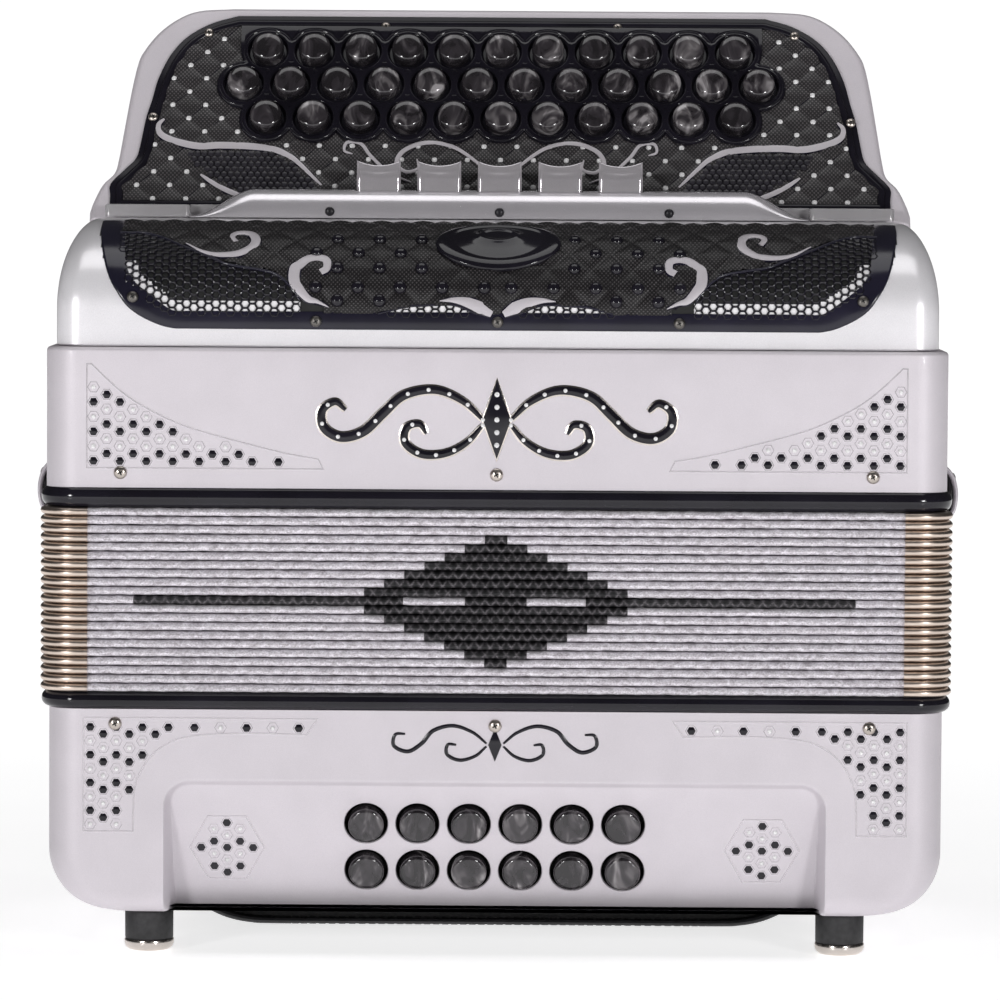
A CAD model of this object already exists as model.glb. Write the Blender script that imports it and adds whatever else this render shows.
"""Looks for a three-row button accordion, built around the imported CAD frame.
Shapes are worked out in millimetres in the row frame: X width, -Y front, +Z up."""
import math
import random

import bmesh
import bpy
import numpy as np
from mathutils import Matrix, Vector


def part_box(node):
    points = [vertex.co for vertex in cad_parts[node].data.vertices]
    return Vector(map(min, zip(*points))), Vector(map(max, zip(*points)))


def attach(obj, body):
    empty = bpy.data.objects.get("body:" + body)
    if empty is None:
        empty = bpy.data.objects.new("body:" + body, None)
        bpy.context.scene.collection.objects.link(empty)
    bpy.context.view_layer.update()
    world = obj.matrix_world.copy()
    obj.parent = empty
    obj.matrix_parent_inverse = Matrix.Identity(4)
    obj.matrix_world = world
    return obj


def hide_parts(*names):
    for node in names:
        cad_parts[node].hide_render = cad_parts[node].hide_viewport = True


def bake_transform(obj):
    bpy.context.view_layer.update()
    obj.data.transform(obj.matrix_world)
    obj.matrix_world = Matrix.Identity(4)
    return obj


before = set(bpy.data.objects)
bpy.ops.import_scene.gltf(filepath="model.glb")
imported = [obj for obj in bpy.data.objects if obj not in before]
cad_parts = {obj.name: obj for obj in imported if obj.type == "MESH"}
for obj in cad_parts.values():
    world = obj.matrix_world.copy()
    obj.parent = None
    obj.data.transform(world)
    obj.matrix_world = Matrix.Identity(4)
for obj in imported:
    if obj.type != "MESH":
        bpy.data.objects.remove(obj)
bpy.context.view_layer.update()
MM = 0.001
TAU = 2 * math.pi
SEED = 7                           # for the ripples of the bellows tape


def mm_box(node):
    """Lowest and highest corner of a CAD node, in millimetres."""
    low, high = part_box(node)
    return low / MM, high / MM


# ---- camera ---------------------------------------------------------------------------------
CAMERA_AT = (14.0, -2033.1, 278.3)     # millimetres
CAMERA_PITCH = 3.35                # degrees below level
CAMERA_YAW = 0.375
CAMERA_ROLL = 0.36
LENS = 197.2


def make_camera():
    camera = bpy.data.objects.new("camera", bpy.data.cameras.new("camera"))
    bpy.context.scene.collection.objects.link(camera)
    camera.data.lens = LENS
    camera.data.sensor_width = 36
    camera.data.clip_end = 50
    turn = (Matrix.Rotation(math.radians(CAMERA_YAW), 4, "Z")
            @ Matrix.Rotation(math.radians(90 - CAMERA_PITCH), 4, "X")
            @ Matrix.Rotation(math.radians(CAMERA_ROLL), 4, "Z"))
    camera.matrix_world = Matrix.Translation(Vector(CAMERA_AT) * MM) @ turn
    bpy.context.scene.camera = camera


make_camera()

# ---- main sizes, read from the CAD frame ----------------------------------------------------
BASS_LOW, BASS_HIGH = mm_box("bass_casing")
TREBLE_HIGH = mm_box("treble_casing")[1]
COVER_LOW, COVER_HIGH = mm_box("grille_cover")
BELLOWS_LOW, BELLOWS_HIGH = mm_box("bellows")
STRAP_LOW, STRAP_HIGH = mm_box("bass_strap")

FRONT = -89.0                      # front face of both casings
BACK = 89.0
DEPTH = BACK - FRONT
BASS_HALF = 160.0
TREBLE_HALF = 161.0
PLAN_RADIUS = 12.0
FRAME_HALF = BASS_HIGH.x           # bellows frames stand proud of the casings
FRAME_DEEP = BASS_HIGH.y
SEAM = TREBLE_HIGH.z               # treble casing meets the cover
BASS_TOP = 89.0
BASS_FLOOR = BASS_LOW.z
FOLDS = 21
PITCH = (BELLOWS_HIGH.z - BELLOWS_LOW.z + 0.4) / FOLDS
FOLD_START = BELLOWS_LOW.z - 0.2

BASS_EDGE = 8.0
BASS_CORNER = 23.0
RECESS_HALF = 118.0
RECESS_TOP = 63.6
RECESS_STEP = 2.0
RECESS_SLOPE = math.radians(18)
RECESS_RADIUS = 9.0

COVER_BEND = 232.0
COVER_BEND_BACK = -36.0
COVER_FRONT = COVER_LOW.y
COVER_TOP = COVER_HIGH.z
COVER_SIDE = (13.0, 32.0)

BOARD_LEAN = math.radians(30)
BOARD_FOOT = Vector((0, -6, 262))
TREBLE_ROWS = ((43.0, 11), (57.6, 12), (72.2, 11))
TREBLE_PITCH = 17.5
BASS_PITCH = 18.4
BASS_ROWS = (-16.6, -34.9)
BASS_COLUMNS = 6

BASS_FRAME = (BASS_TOP + 0.1, 95.1)    # lower and upper edge of each bellows frame
TREBLE_FRAME = (161.0, 168.4)
TREBLE_FLOOR = 168.0
BASS_SCREWS_Z = 83.8
TREBLE_SCREWS_Z = 173.4
FOOT_AT = (124.5, 69)
AIR_AT = (95, 52)                  # X and Z on the back of the bass casing
SIDE_STRAP_Y = -22                 # bellows straps, on both sides


# ---- mesh building --------------------------------------------------------------------------
class Shape:
    """Points in millimetres, faces, and a material number for each face."""

    def __init__(self):
        self.points = []
        self.faces = []
        self.slots = []

    def add(self, points, faces, slot=0, place=None):
        base = len(self.points)
        for p in points:
            p = Vector(p)
            self.points.append(place @ p if place is not None else p)
        for face in faces:
            self.faces.append([base + i for i in face])
            self.slots.append(slot)

    def grid(self, rows, close_u=False, close_v=False, slot=0, place=None):
        """Quads over rows of points. close_u joins each row's ends, close_v the first and last row."""
        count = len(rows[0])
        faces = []
        for r in range(len(rows) if close_v else len(rows) - 1):
            for i in range(count if close_u else count - 1):
                a = r * count + i
                b = r * count + (i + 1) % count
                c = ((r + 1) % len(rows)) * count + (i + 1) % count
                d = ((r + 1) % len(rows)) * count + i
                faces.append((a, b, c, d))
        self.add([p for row in rows for p in row], faces, slot, place)

    def cap(self, ring, flip=False, slot=0, place=None):
        order = list(range(len(ring)))
        self.add(ring, [order[::-1] if flip else order], slot, place)

    def tube(self, rows, slot=0):
        """A closed solid through sections of a run, such as a strap."""
        self.grid(rows, close_u=True, slot=slot)
        self.cap(rows[0], slot=slot)
        self.cap(rows[-1], flip=True, slot=slot)

    def stack(self, rows, slot=0, place=None):
        """A closed solid through counter-clockwise rings, from the bottom up."""
        self.grid(rows, close_u=True, slot=slot, place=place)
        self.cap(rows[-1], slot=slot, place=place)
        self.cap(rows[0], flip=True, slot=slot, place=place)

    def turned(self, profile, place, segments=32, slot=0):
        """A turned solid: profile of (radius, height) from the axis back to the axis."""
        rows = []
        for r, h in profile:
            r = max(r, 1e-4)
            rows.append([(r * math.cos(TAU * i / segments), r * math.sin(TAU * i / segments), h)
                         for i in range(segments)])
        self.grid(rows, close_u=True, slot=slot, place=place)

    def prism(self, outline, low, high, place, bevel=0.0, slot=0):
        """A flat outline (x, y) between two heights, with a small bevel around its top."""
        def level(shrink, h):
            return [(x, y, h) for x, y in inset(outline, shrink)]
        rows = [level(0, low), level(0, high - bevel)]
        if bevel > 0:
            rows.append(level(bevel * 0.3, high - bevel * 0.3))
            rows.append(level(bevel, high))
        self.stack(rows, slot, place)

    def ribbon(self, line, widths, lift, thick, surface, slot=0):
        """A raised ribbon along a line drawn on a surface: surface(u, v, height) gives the point."""
        rows = []
        for k, (p, w) in enumerate(zip(line, widths)):
            before = Vector(line[max(k - 1, 0)])
            after = Vector(line[min(k + 1, len(line) - 1)])
            along = (after - before).normalized()
            side = Vector((-along.y, along.x)) * w / 2
            p = Vector(p)
            section = []
            for t, h in ((-1, -thick), (-1, thick * 0.4), (-0.6, thick), (0, thick * 1.15),
                         (0.6, thick), (1, thick * 0.4), (1, -thick)):
                q = p + side * t
                section.append(surface(q.x, q.y, lift + h))
            rows.append(section)
        self.grid(rows, slot=slot)
        self.cap(rows[0], slot=slot)
        self.cap(rows[-1], flip=True, slot=slot)


def piece(name, shape, materials, smooth=35, merge=True):
    """Makes the Blender object of a shape, in metres."""
    data = bpy.data.meshes.new(name)
    data.from_pydata([tuple(p * MM) for p in shape.points], [], shape.faces)
    data.polygons.foreach_set("material_index", shape.slots)
    for material in materials:
        data.materials.append(material)
    if merge:
        bm = bmesh.new()
        bm.from_mesh(data)
        bmesh.ops.remove_doubles(bm, verts=bm.verts, dist=2e-6)
        bmesh.ops.dissolve_degenerate(bm, edges=bm.edges, dist=1e-7)
        bmesh.ops.recalc_face_normals(bm, faces=bm.faces)
        bm.to_mesh(data)
        bm.free()
    data.shade_smooth()
    data.set_sharp_from_angle(angle=math.radians(smooth))
    obj = bpy.data.objects.new(name, data)
    bpy.context.scene.collection.objects.link(obj)
    return obj


def inset(outline, distance):
    """A closed outline, counter-clockwise, moved inwards by a small distance."""
    if distance == 0:
        return list(outline)
    count = len(outline)
    result = []
    for i in range(count):
        before = Vector(outline[i - 1])
        here = Vector(outline[i])
        after = Vector(outline[(i + 1) % count])
        a = (here - before)
        b = (after - here)
        a = a.normalized() if a.length > 1e-9 else b.normalized()
        b = b.normalized() if b.length > 1e-9 else a
        normal = Vector((-a.y, a.x)) + Vector((-b.y, b.x))
        if normal.length < 1e-6:
            normal = Vector((-a.y, a.x))
        normal.normalize()
        scale = 1 / max(normal.dot(Vector((-a.y, a.x))), 0.5)
        result.append(tuple(here + normal * distance * scale))
    return result


def arc(cx, cy, r, a0, a1, steps):
    return [(cx + r * math.cos(a0 + (a1 - a0) * i / steps), cy + r * math.sin(a0 + (a1 - a0) * i / steps))
            for i in range(steps + 1)]


def rounded_rect(hx, hy, r, steps=10):
    quarter = math.pi / 2
    points = []
    for k, (sx, sy) in enumerate(((1, 1), (-1, 1), (-1, -1), (1, -1))):
        points += arc(sx * (hx - r), sy * (hy - r), r, k * quarter, (k + 1) * quarter, steps)
    return points


def smooth_curve(points, per=8):
    """A Catmull-Rom curve through the given points."""
    pts = [Vector(p) for p in points]
    result = []
    for k in range(len(pts) - 1):
        p1, p2 = pts[k], pts[k + 1]
        p0 = pts[k - 1] if k > 0 else p1 * 2 - p2
        p3 = pts[k + 2] if k + 2 < len(pts) else p2 * 2 - p1
        for i in range(per):
            t = i / per
            q = ((p1 * 2) + (p2 - p0) * t + (p0 * 2 - p1 * 5 + p2 * 4 - p3) * t * t
                 + (p1 * 3 - p0 - p2 * 3 + p3) * t ** 3) * 0.5
            result.append(tuple(q))
    result.append(tuple(pts[-1]))
    return result


def side_curve(line, sign, per=8):
    """A smooth curve given for the right side, mirrored to the left where sign is -1."""
    return smooth_curve([(sign * x, y) for x, y in line], per)


def swelled(count, thin, widest, power, trim=0.0):
    """Widths along a stroke that is thin at both ends; trim leaves off the thinnest part."""
    return [thin + (widest - thin) * math.sin(math.pi * (i + 0.5 + trim) / (count + 2 * trim)) ** power
            for i in range(count)]


def mirror_outline(half):
    """Both sides of an outline given as its right half, listed upwards."""
    return list(half) + [(-x, y) for x, y in reversed(half)]


def ramp(t):
    t = min(max(t, 0.0), 1.0)
    return t * t * (3 - 2 * t)


def place_at(origin, x_axis, y_axis):
    """A frame with the given axes; its third axis is their cross product."""
    x = Vector(x_axis).normalized()
    y = Vector(y_axis).normalized()
    z = x.cross(y)
    m = Matrix((x, y, z)).transposed().to_4x4()
    m.translation = Vector(origin)
    return m


BOARD = place_at(BOARD_FOOT, (1, 0, 0), (0, math.sin(BOARD_LEAN), math.cos(BOARD_LEAN)))
PANEL = place_at((0, FRONT + RECESS_STEP, RECESS_TOP), (1, 0, 0),
                 (0, -math.sin(RECESS_SLOPE), math.cos(RECESS_SLOPE)))


def front_place(x, z, y=FRONT):
    """A frame on a front face: its X to the right, its Y up, its Z towards the viewer."""
    return place_at((x, y, z), (1, 0, 0), (0, 0, 1))


def back_place(x, z):
    """A frame on a back face: its Y up, its Z away from the front."""
    return place_at((x, BACK, z), (-1, 0, 0), (0, 0, 1))


# ---- materials ------------------------------------------------------------------------------
class Nodes:
    """A material with a Principled shader, and short ways to add what drives it."""

    def __init__(self, name, color, roughness, metallic=0.0, coat=0.0, coat_roughness=0.05):
        self.material = bpy.data.materials.new(name)
        self.material.use_nodes = True
        self.tree = self.material.node_tree
        self.shader = self.tree.nodes["Principled BSDF"]
        self.set("Base Color", (*color, 1))
        self.set("Roughness", roughness)
        self.set("Metallic", metallic)
        self.set("Coat Weight", coat)
        self.set("Coat Roughness", coat_roughness)
        self.place = self.tree.nodes.new("ShaderNodeTexCoord").outputs["Object"]

    def set(self, socket, value):
        self.shader.inputs[socket].default_value = value

    def link(self, a, b):
        self.tree.links.new(a, b)

    def mapping(self, scale=(1, 1, 1), rotation=(0, 0, 0)):
        node = self.tree.nodes.new("ShaderNodeMapping")
        node.inputs["Scale"].default_value = scale
        node.inputs["Rotation"].default_value = rotation
        self.link(self.place, node.inputs["Vector"])
        return node.outputs["Vector"]

    def noise(self, scale, detail=2.0, distortion=0.0, vector=None):
        node = self.tree.nodes.new("ShaderNodeTexNoise")
        node.inputs["Scale"].default_value = scale
        node.inputs["Detail"].default_value = detail
        node.inputs["Distortion"].default_value = distortion
        self.link(vector or self.place, node.inputs["Vector"])
        return node.outputs["Fac"]

    def cells(self, scale):
        node = self.tree.nodes.new("ShaderNodeTexVoronoi")
        node.inputs["Scale"].default_value = scale
        self.link(self.place, node.inputs["Vector"])
        return node.outputs["Distance"]

    def wave(self, scale, vector, direction="X"):
        node = self.tree.nodes.new("ShaderNodeTexWave")
        node.bands_direction = direction
        node.inputs["Scale"].default_value = scale
        self.link(vector, node.inputs["Vector"])
        return node.outputs["Fac"]

    def ramp(self, fac, stops):
        node = self.tree.nodes.new("ShaderNodeValToRGB")
        ramp_data = node.color_ramp
        while len(ramp_data.elements) < len(stops):
            ramp_data.elements.new(0.5)
        for element, (at, color) in zip(ramp_data.elements, stops):
            element.position = at
            element.color = (*color, 1)
        self.link(fac, node.inputs["Fac"])
        return node.outputs["Color"]

    def span(self, fac, low, high, from_low=0.0, from_high=1.0):
        node = self.tree.nodes.new("ShaderNodeMapRange")
        node.inputs["From Min"].default_value = from_low
        node.inputs["From Max"].default_value = from_high
        node.inputs["To Min"].default_value = low
        node.inputs["To Max"].default_value = high
        self.link(fac, node.inputs["Value"])
        return node.outputs["Result"]

    def math(self, kind, a, b):
        node = self.tree.nodes.new("ShaderNodeMath")
        node.operation = kind
        for socket, value in zip(node.inputs, (a, b)):
            if isinstance(value, (int, float)):
                socket.default_value = value
            else:
                self.link(value, socket)
        return node.outputs["Value"]

    def mix(self, a, share, b):
        """The given share of a, and the rest of b."""
        return self.math("ADD", self.math("MULTIPLY", a, share), self.math("MULTIPLY", b, 1 - share))

    def bump(self, height, strength, distance):
        node = self.tree.nodes.new("ShaderNodeBump")
        node.inputs["Strength"].default_value = strength
        node.inputs["Distance"].default_value = distance
        self.link(height, node.inputs["Height"])
        self.link(node.outputs["Normal"], self.shader.inputs["Normal"])

    def color(self, output):
        self.link(output, self.shader.inputs["Base Color"])

    def roughness(self, output):
        self.link(output, self.shader.inputs["Roughness"])

    def mottle(self, scale, detail, dark, light, reach=(0.3, 0.7)):
        """Colour that drifts between two shades."""
        self.color(self.ramp(self.noise(scale, detail), ((reach[0], dark), (reach[1], light))))

    def polish(self, scale, detail, low, high):
        """Roughness that drifts between two values."""
        self.roughness(self.span(self.noise(scale, detail), low, high))


def shade(tint, factor):
    return tuple(min(c * factor, 1) for c in tint)


def silver_lacquer(name, tint, roughness, metallic, coat):
    """Metallic lacquer: fine bright flakes in a slightly mottled silver under a clear coat."""
    m = Nodes(name, tint, roughness, metallic, coat, 0.06)
    flakes = m.noise(5200, 1)
    mottled = m.mix(flakes, 0.7, m.noise(60, 2))
    m.color(m.ramp(mottled, ((0.3, shade(tint, 0.9)), (0.7, shade(tint, 1.06)))))
    m.polish(900, 2, roughness - 0.05, roughness + 0.06)
    m.bump(flakes, 0.12, 0.00002)
    return m.material


def gloss_black(name, roughness=0.1, tint=(0.009, 0.008, 0.012), specular=0.38):
    m = Nodes(name, tint, roughness)
    m.set("Specular IOR Level", specular)
    m.mottle(40, 3, shade(tint, 0.8), shade(tint, 1.5), (0.3, 0.75))
    m.polish(300, 3, roughness - 0.03, roughness + 0.05)
    return m.material


def woven_black(name="woven_black", level=1.0):
    """Fine woven cloth under lacquer, as on the quilted panels."""
    m = Nodes(name, (0.03, 0.028, 0.03), 0.4)
    turned = m.mapping((1, 1, 1), (0.0, math.radians(45), 0.0))
    weave = m.math("MULTIPLY", m.wave(300, turned), m.wave(300, turned, "Z"))
    patch = m.math("MULTIPLY", weave, m.math("ADD", m.noise(120, 2), 0.45))
    shades = ((0.1, (0.006, 0.005, 0.006)), (0.5, (0.036, 0.031, 0.034)), (0.8, (0.11, 0.098, 0.104)))
    m.color(m.ramp(patch, [(at, shade(tint, level)) for at, tint in shades]))
    m.set("Specular IOR Level", 0.5 * level)
    m.roughness(m.span(weave, 0.5, 0.26))
    m.bump(weave, 0.5, 0.00015)
    return m.material


def pearl():
    """Charcoal pearloid: streaky smoke with a few pale flashes, under a hard polish."""
    m = Nodes("pearl_button", (0.05, 0.045, 0.05), 0.16, 0.0, 0.4, 0.06)
    long_way = m.mapping((1.0, 1.0, 0.38), (0.5, 0.4, 0.6))
    streak = m.noise(110, 2, 2.2, long_way)
    patch = m.noise(38, 1, 0.6)
    both = m.math("MULTIPLY", streak, m.math("ADD", patch, 0.5))
    m.color(m.ramp(both, ((0.36, (0.016, 0.014, 0.016)), (0.52, (0.04, 0.035, 0.04)),
                          (0.64, (0.12, 0.11, 0.115)), (0.76, (0.34, 0.32, 0.33)))))
    m.set("Metallic", 0.1)
    m.polish(400, 2, 0.08, 0.16)
    return m.material


def white_tape():
    """Silver-white woven bellows tape with fine glitter."""
    m = Nodes("bellows_tape", (0.5, 0.47, 0.5), 0.6, 0.1)
    fine = m.noise(1500, 2)
    coarse = m.noise(420, 3, 0.8, m.mapping((1, 1, 1.6)))
    mix = m.mix(coarse, 0.55, fine)
    m.color(m.ramp(mix, ((0.34, (0.38, 0.35, 0.38)), (0.5, (0.62, 0.59, 0.63)), (0.64, (0.84, 0.81, 0.86)))))
    m.roughness(m.span(fine, 0.75, 0.35, 0.3, 0.7))
    m.bump(mix, 0.7, 0.0004)
    return m.material


def black_tape():
    """Black braided bellows tape: slanted strands crossing as chevrons."""
    m = Nodes("bellows_tape_black", (0.02, 0.019, 0.021), 0.5)
    right = m.wave(105, m.mapping((1, 1, 1), (0, math.radians(38), 0)))
    left = m.wave(105, m.mapping((1, 1, 1), (0, math.radians(-38), 0)))
    braid = m.math("MAXIMUM", right, left)
    fine = m.noise(1600, 2)
    mix = m.mix(braid, 0.62, fine)
    m.color(m.ramp(mix, ((0.4, (0.006, 0.006, 0.007)), (0.72, (0.022, 0.02, 0.023)),
                         (0.86, (0.13, 0.12, 0.13)))))
    m.roughness(m.span(fine, 0.65, 0.4, 0.3, 0.7))
    m.bump(mix, 0.8, 0.0003)
    return m.material


def nickel(name="nickel", tint=(0.62, 0.57, 0.53), roughness=0.18):
    m = Nodes(name, tint, roughness, 1.0)
    m.mottle(90, 3, shade(tint, 0.85), shade(tint, 1.1))
    m.polish(1500, 2, roughness - 0.05, roughness + 0.1)
    return m.material


def leather():
    m = Nodes("strap_leather", (0.012, 0.012, 0.014), 0.5)
    grain = m.cells(900)
    m.mottle(160, 4, (0.007, 0.007, 0.008), (0.026, 0.025, 0.028))
    m.roughness(m.span(grain, 0.62, 0.38))
    m.bump(grain, 0.5, 0.00025)
    return m.material


def rubber():
    m = Nodes("foot_rubber", (0.016, 0.016, 0.017), 0.6)
    m.mottle(500, 3, (0.011, 0.011, 0.012), (0.025, 0.024, 0.026))
    m.bump(m.noise(2000, 2), 0.3, 0.0001)
    return m.material


def card():
    """Dark card of the bellows folds, with a soft cloth grain."""
    m = Nodes("bellows_card", (0.02, 0.018, 0.018), 0.75)
    m.mottle(700, 4, (0.01, 0.009, 0.009), (0.04, 0.036, 0.035))
    m.bump(m.noise(1800, 3), 0.4, 0.0002)
    return m.material


def stone():
    """Small cut glass stones on foil."""
    tint = (0.95, 0.94, 0.95)
    m = Nodes("stone", tint, 0.12, 0.0, 1.0, 0.02)
    m.color(m.ramp(m.cells(1400), ((0.0, tint), (0.7, shade(tint, 0.7)))))
    m.polish(900, 2, 0.08, 0.2)
    return m.material


def clear_strip():
    """Smoky clear plastic: a thin, mostly see-through gloss."""
    m = Nodes("clear_strip", (0.8, 0.78, 0.8), 0.12)
    m.set("Transmission Weight", 0.6)
    m.set("IOR", 1.46)
    m.mottle(30, 3, (0.7, 0.68, 0.7), (0.88, 0.86, 0.88))
    m.polish(200, 2, 0.08, 0.16)
    return m.material


SILVER = silver_lacquer("silver_lacquer", (0.62, 0.58, 0.62), 0.5, 0.2, 0.05)
PRINT_SILVER = silver_lacquer("print_silver", (0.5, 0.47, 0.5), 0.5, 0.15, 0.1)
COVER_SILVER = silver_lacquer("gloss_silver", (0.84, 0.82, 0.85), 0.3, 0.25, 0.6)
RAIL_SILVER = silver_lacquer("rail_silver", (0.72, 0.69, 0.73), 0.24, 0.55, 0.9)
PRINT_WHITE = silver_lacquer("grille_lining", (0.86, 0.84, 0.86), 0.5, 0.0, 0.1)
PLATE_BLACK = gloss_black("plate_black", 0.14, (0.009, 0.008, 0.012), 0.2)
SURROUND_BLACK = gloss_black("surround_black", 0.09, (0.008, 0.007, 0.011), 0.34)
DARK_WOVEN = woven_black("woven_dark", 0.6)
GRILLE_SCREW = nickel("dull_screw", (0.16, 0.15, 0.14), 0.42)
BLACK = gloss_black("gloss_black")
SATIN_BLACK = gloss_black("satin_black", 0.34, (0.014, 0.013, 0.017))
DARK = gloss_black("dark_inside", 0.6, (0.004, 0.004, 0.004))
WOVEN = woven_black()
PEARL = pearl()
TAPE = white_tape()
TAPE_BLACK = black_tape()
NICKEL = nickel()
CORNER_NICKEL = nickel("corner_nickel", (0.66, 0.56, 0.49), 0.3)
BORDER = gloss_black("grille_border", 0.16, (0.011, 0.010, 0.019))
SCALE_BLACK = gloss_black("scale_black", 0.3, (0.024, 0.022, 0.028))
SCREW = nickel("screw_nickel", (0.5, 0.45, 0.41), 0.28)
LEATHER = leather()
RUBBER = rubber()
CARD = card()
STONE = stone()
CLEAR = clear_strip()
SWITCH = silver_lacquer("switch_silver", (0.6, 0.57, 0.6), 0.2, 0.55, 0.7)
SWITCH_END = silver_lacquer("switch_end", (0.3, 0.28, 0.3), 0.5, 0.15, 0.0)
INLAY_LINE = silver_lacquer("inlay_line", (0.6, 0.57, 0.6), 0.22, 0.6, 0.6)


def put(obj, body, replaces=()):
    """Rides a piece on a body, and says which CAD nodes it stands for."""
    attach(obj, body)
    if replaces:
        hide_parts(*replaces)
    return obj


def cut(obj, cutter, smooth):
    """Cuts one solid out of another, keeps a plain mesh, and sharpens edges over an angle."""
    modifier = obj.modifiers.new("cut", "BOOLEAN")
    modifier.operation = "DIFFERENCE"
    modifier.solver = "EXACT"
    modifier.object = cutter
    bpy.context.view_layer.update()
    graph = bpy.context.evaluated_depsgraph_get()
    data = bpy.data.meshes.new_from_object(obj.evaluated_get(graph))
    obj.modifiers.clear()
    obj.data = data
    data.shade_smooth()
    data.set_sharp_from_angle(angle=math.radians(smooth))
    bpy.data.objects.remove(cutter)


# ---- bass casing ----------------------------------------------------------------------------
def recess_mask(x, z, full):
    """1 on the sloped panel, 0 on the casing's front, with steep rounded walls between."""
    dx = abs(x) - (RECESS_HALF - RECESS_RADIUS)
    dz = z - (RECESS_TOP - RECESS_RADIUS)
    outside = math.hypot(max(dx, 0), max(dz, 0)) + min(max(dx, dz), 0) - RECESS_RADIUS
    wall = 2.4 + 0.07 * full
    return ramp((0.4 - outside) / wall)


def recess_depth(x, z):
    """How far the bass front lies behind its front face; the panel's lower edge is sharp."""
    full = RECESS_STEP + (RECESS_TOP - min(z, RECESS_TOP)) * math.tan(RECESS_SLOPE)
    mask = recess_mask(x, z, full)
    return mask * (full - rounding(z, BASS_FLOOR, BASS_EDGE) + rounding(z, BASS_FLOOR, 0.8))


def casing_ring(half, deep, radius, z, dent=None):
    """A level ring around a casing, with close points where the recess walls are."""
    marks = [x * 3.0 for x in range(-34, 35)]
    marks += [s * (103 + 0.4 * i) for s in (-1, 1) for i in range(0, 43)]
    marks += [s * (121 + 0.9 * i) for s in (-1, 1) for i in range(0, 4)]
    edge = half - radius
    marks += [-edge, edge]
    xs = sorted(x for x in set(marks) if abs(x) <= edge)
    ring = [(x, -deep + (dent(x, z) if dent else 0), z) for x in xs]
    quarter = math.pi / 2

    def corner(sx, sy, k):
        return [(x, y, z) for x, y in arc(sx * edge, sy * (deep - radius), radius,
                                          k * quarter, (k + 1) * quarter, 10)][1:]
    ring += corner(1, -1, -1)
    ring += [(half, -(deep - radius) + 2 * (deep - radius) * i / 12, z) for i in range(1, 12)]
    ring += corner(1, 1, 0)
    ring += [(edge - 2 * edge * i / 24, deep, z) for i in range(1, 24)]
    ring += corner(-1, 1, 1)
    ring += [(-half, (deep - radius) - 2 * (deep - radius) * i / 12, z) for i in range(1, 12)]
    ring += corner(-1, -1, 2)[:-1]
    return ring


def rounding(z, low, radius):
    """How far a wall stands in at height z when its lower edge is rounded."""
    if z >= low + radius:
        return 0.0
    return radius - math.sqrt(max(radius ** 2 - (low + radius - z) ** 2, 0))


def bass_places():
    """Frames at the bass buttons, on the sloped panel."""
    middle = (BASS_COLUMNS - 1) / 2
    return [PANEL @ Matrix.Translation(((i - middle) * BASS_PITCH, v, 0))
            for v in BASS_ROWS for i in range(BASS_COLUMNS)]


def air_place():
    return back_place(*AIR_AT)


def bass_casing():
    heights = [BASS_FLOOR + BASS_EDGE * (1 - math.cos(a * math.pi / 40)) for a in range(0, 21)]
    heights += [24.5 + 1.5 * i for i in range(0, 20)]
    heights += [54.0 + 0.4 * i for i in range(0, 27)]
    heights += [68, 72, 76, 80, 84, BASS_TOP]
    rows = []
    for z in heights:
        half = BASS_HALF - rounding(z, BASS_FLOOR, BASS_CORNER)
        deep = DEPTH / 2 - rounding(z, BASS_FLOOR, BASS_EDGE)
        rows.append(casing_ring(half, deep, PLAN_RADIUS, z, recess_depth))
    flat = [point[:2] for point in rows[0]]
    rim = [(x, y, BASS_FLOOR) for x, y in inset(flat, 2.9)]
    floor = [(x, y, BASS_FLOOR + 1.6) for x, y in inset(flat, 3.0)]
    shape = Shape()
    shape.stack([floor, rim] + rows)
    obj = piece("bass_casing_shell", shape, [SILVER, DARK])
    wells = Shape()
    for spot in bass_places():
        wells.turned([(0, -9), (7.7, -9), (7.7, -0.5), (8.1, 0.15), (8.1, 3), (0, 3)], spot, 40)
    wells.turned([(0, -12), (7.6, -12), (7.6, -3), (11, -3), (12, 0), (12, 3), (0, 3)],
                 air_place(), 48)
    cut(obj, piece("well_cutter", wells, []), 35)
    to_panel = PANEL.inverted()
    to_air = air_place().inverted()
    for face in obj.data.polygons:
        p = to_panel @ (Vector(face.center) / MM)
        q = to_air @ (Vector(face.center) / MM)
        in_button_well = p.z < -0.8 and abs(p.x) < 60 and -45 < p.y < -6
        in_air_well = -12.5 < q.z < -2.8 and math.hypot(q.x, q.y) < 11.2
        if in_button_well or in_air_well:
            face.material_index = 1
    put(obj, "bass", ["bass_casing"])


def sweep(shape, profile, hx, hy, radius, steps=10):
    """A closed profile of (outwards, height) swept around a rounded rectangle."""
    rows = []
    for out, z in profile:
        r = max(radius + out, 1.2)
        rows.append([(x, y, z) for x, y in rounded_rect(hx + out, hy + out, r, steps)])
    shape.grid(rows, close_u=True, close_v=True)


def half_round(z0, z1):
    """The section of a bellows frame: flat inside, half round outside."""
    bulge = 3.0
    deep = -9
    middle = (z0 + z1) / 2
    tall = (z1 - z0) / 2
    profile = [(deep, z0), (-bulge - 0.4, z0)]
    for i in range(1, 12):
        a = -math.pi / 2 + math.pi * i / 12
        profile.append((-bulge + bulge * math.cos(a), middle + tall * math.sin(a)))
    return profile + [(-bulge - 0.4, z1), (deep, z1)]


def bellows_frames():
    for name, body, heights in (("bass_bellows_frame", "bass", BASS_FRAME),
                                ("treble_bellows_frame", "treble", TREBLE_FRAME)):
        shape = Shape()
        sweep(shape, half_round(*heights), FRAME_HALF, FRAME_DEEP, 14)
        put(piece(name, shape, [BLACK], 50), body)


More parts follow.
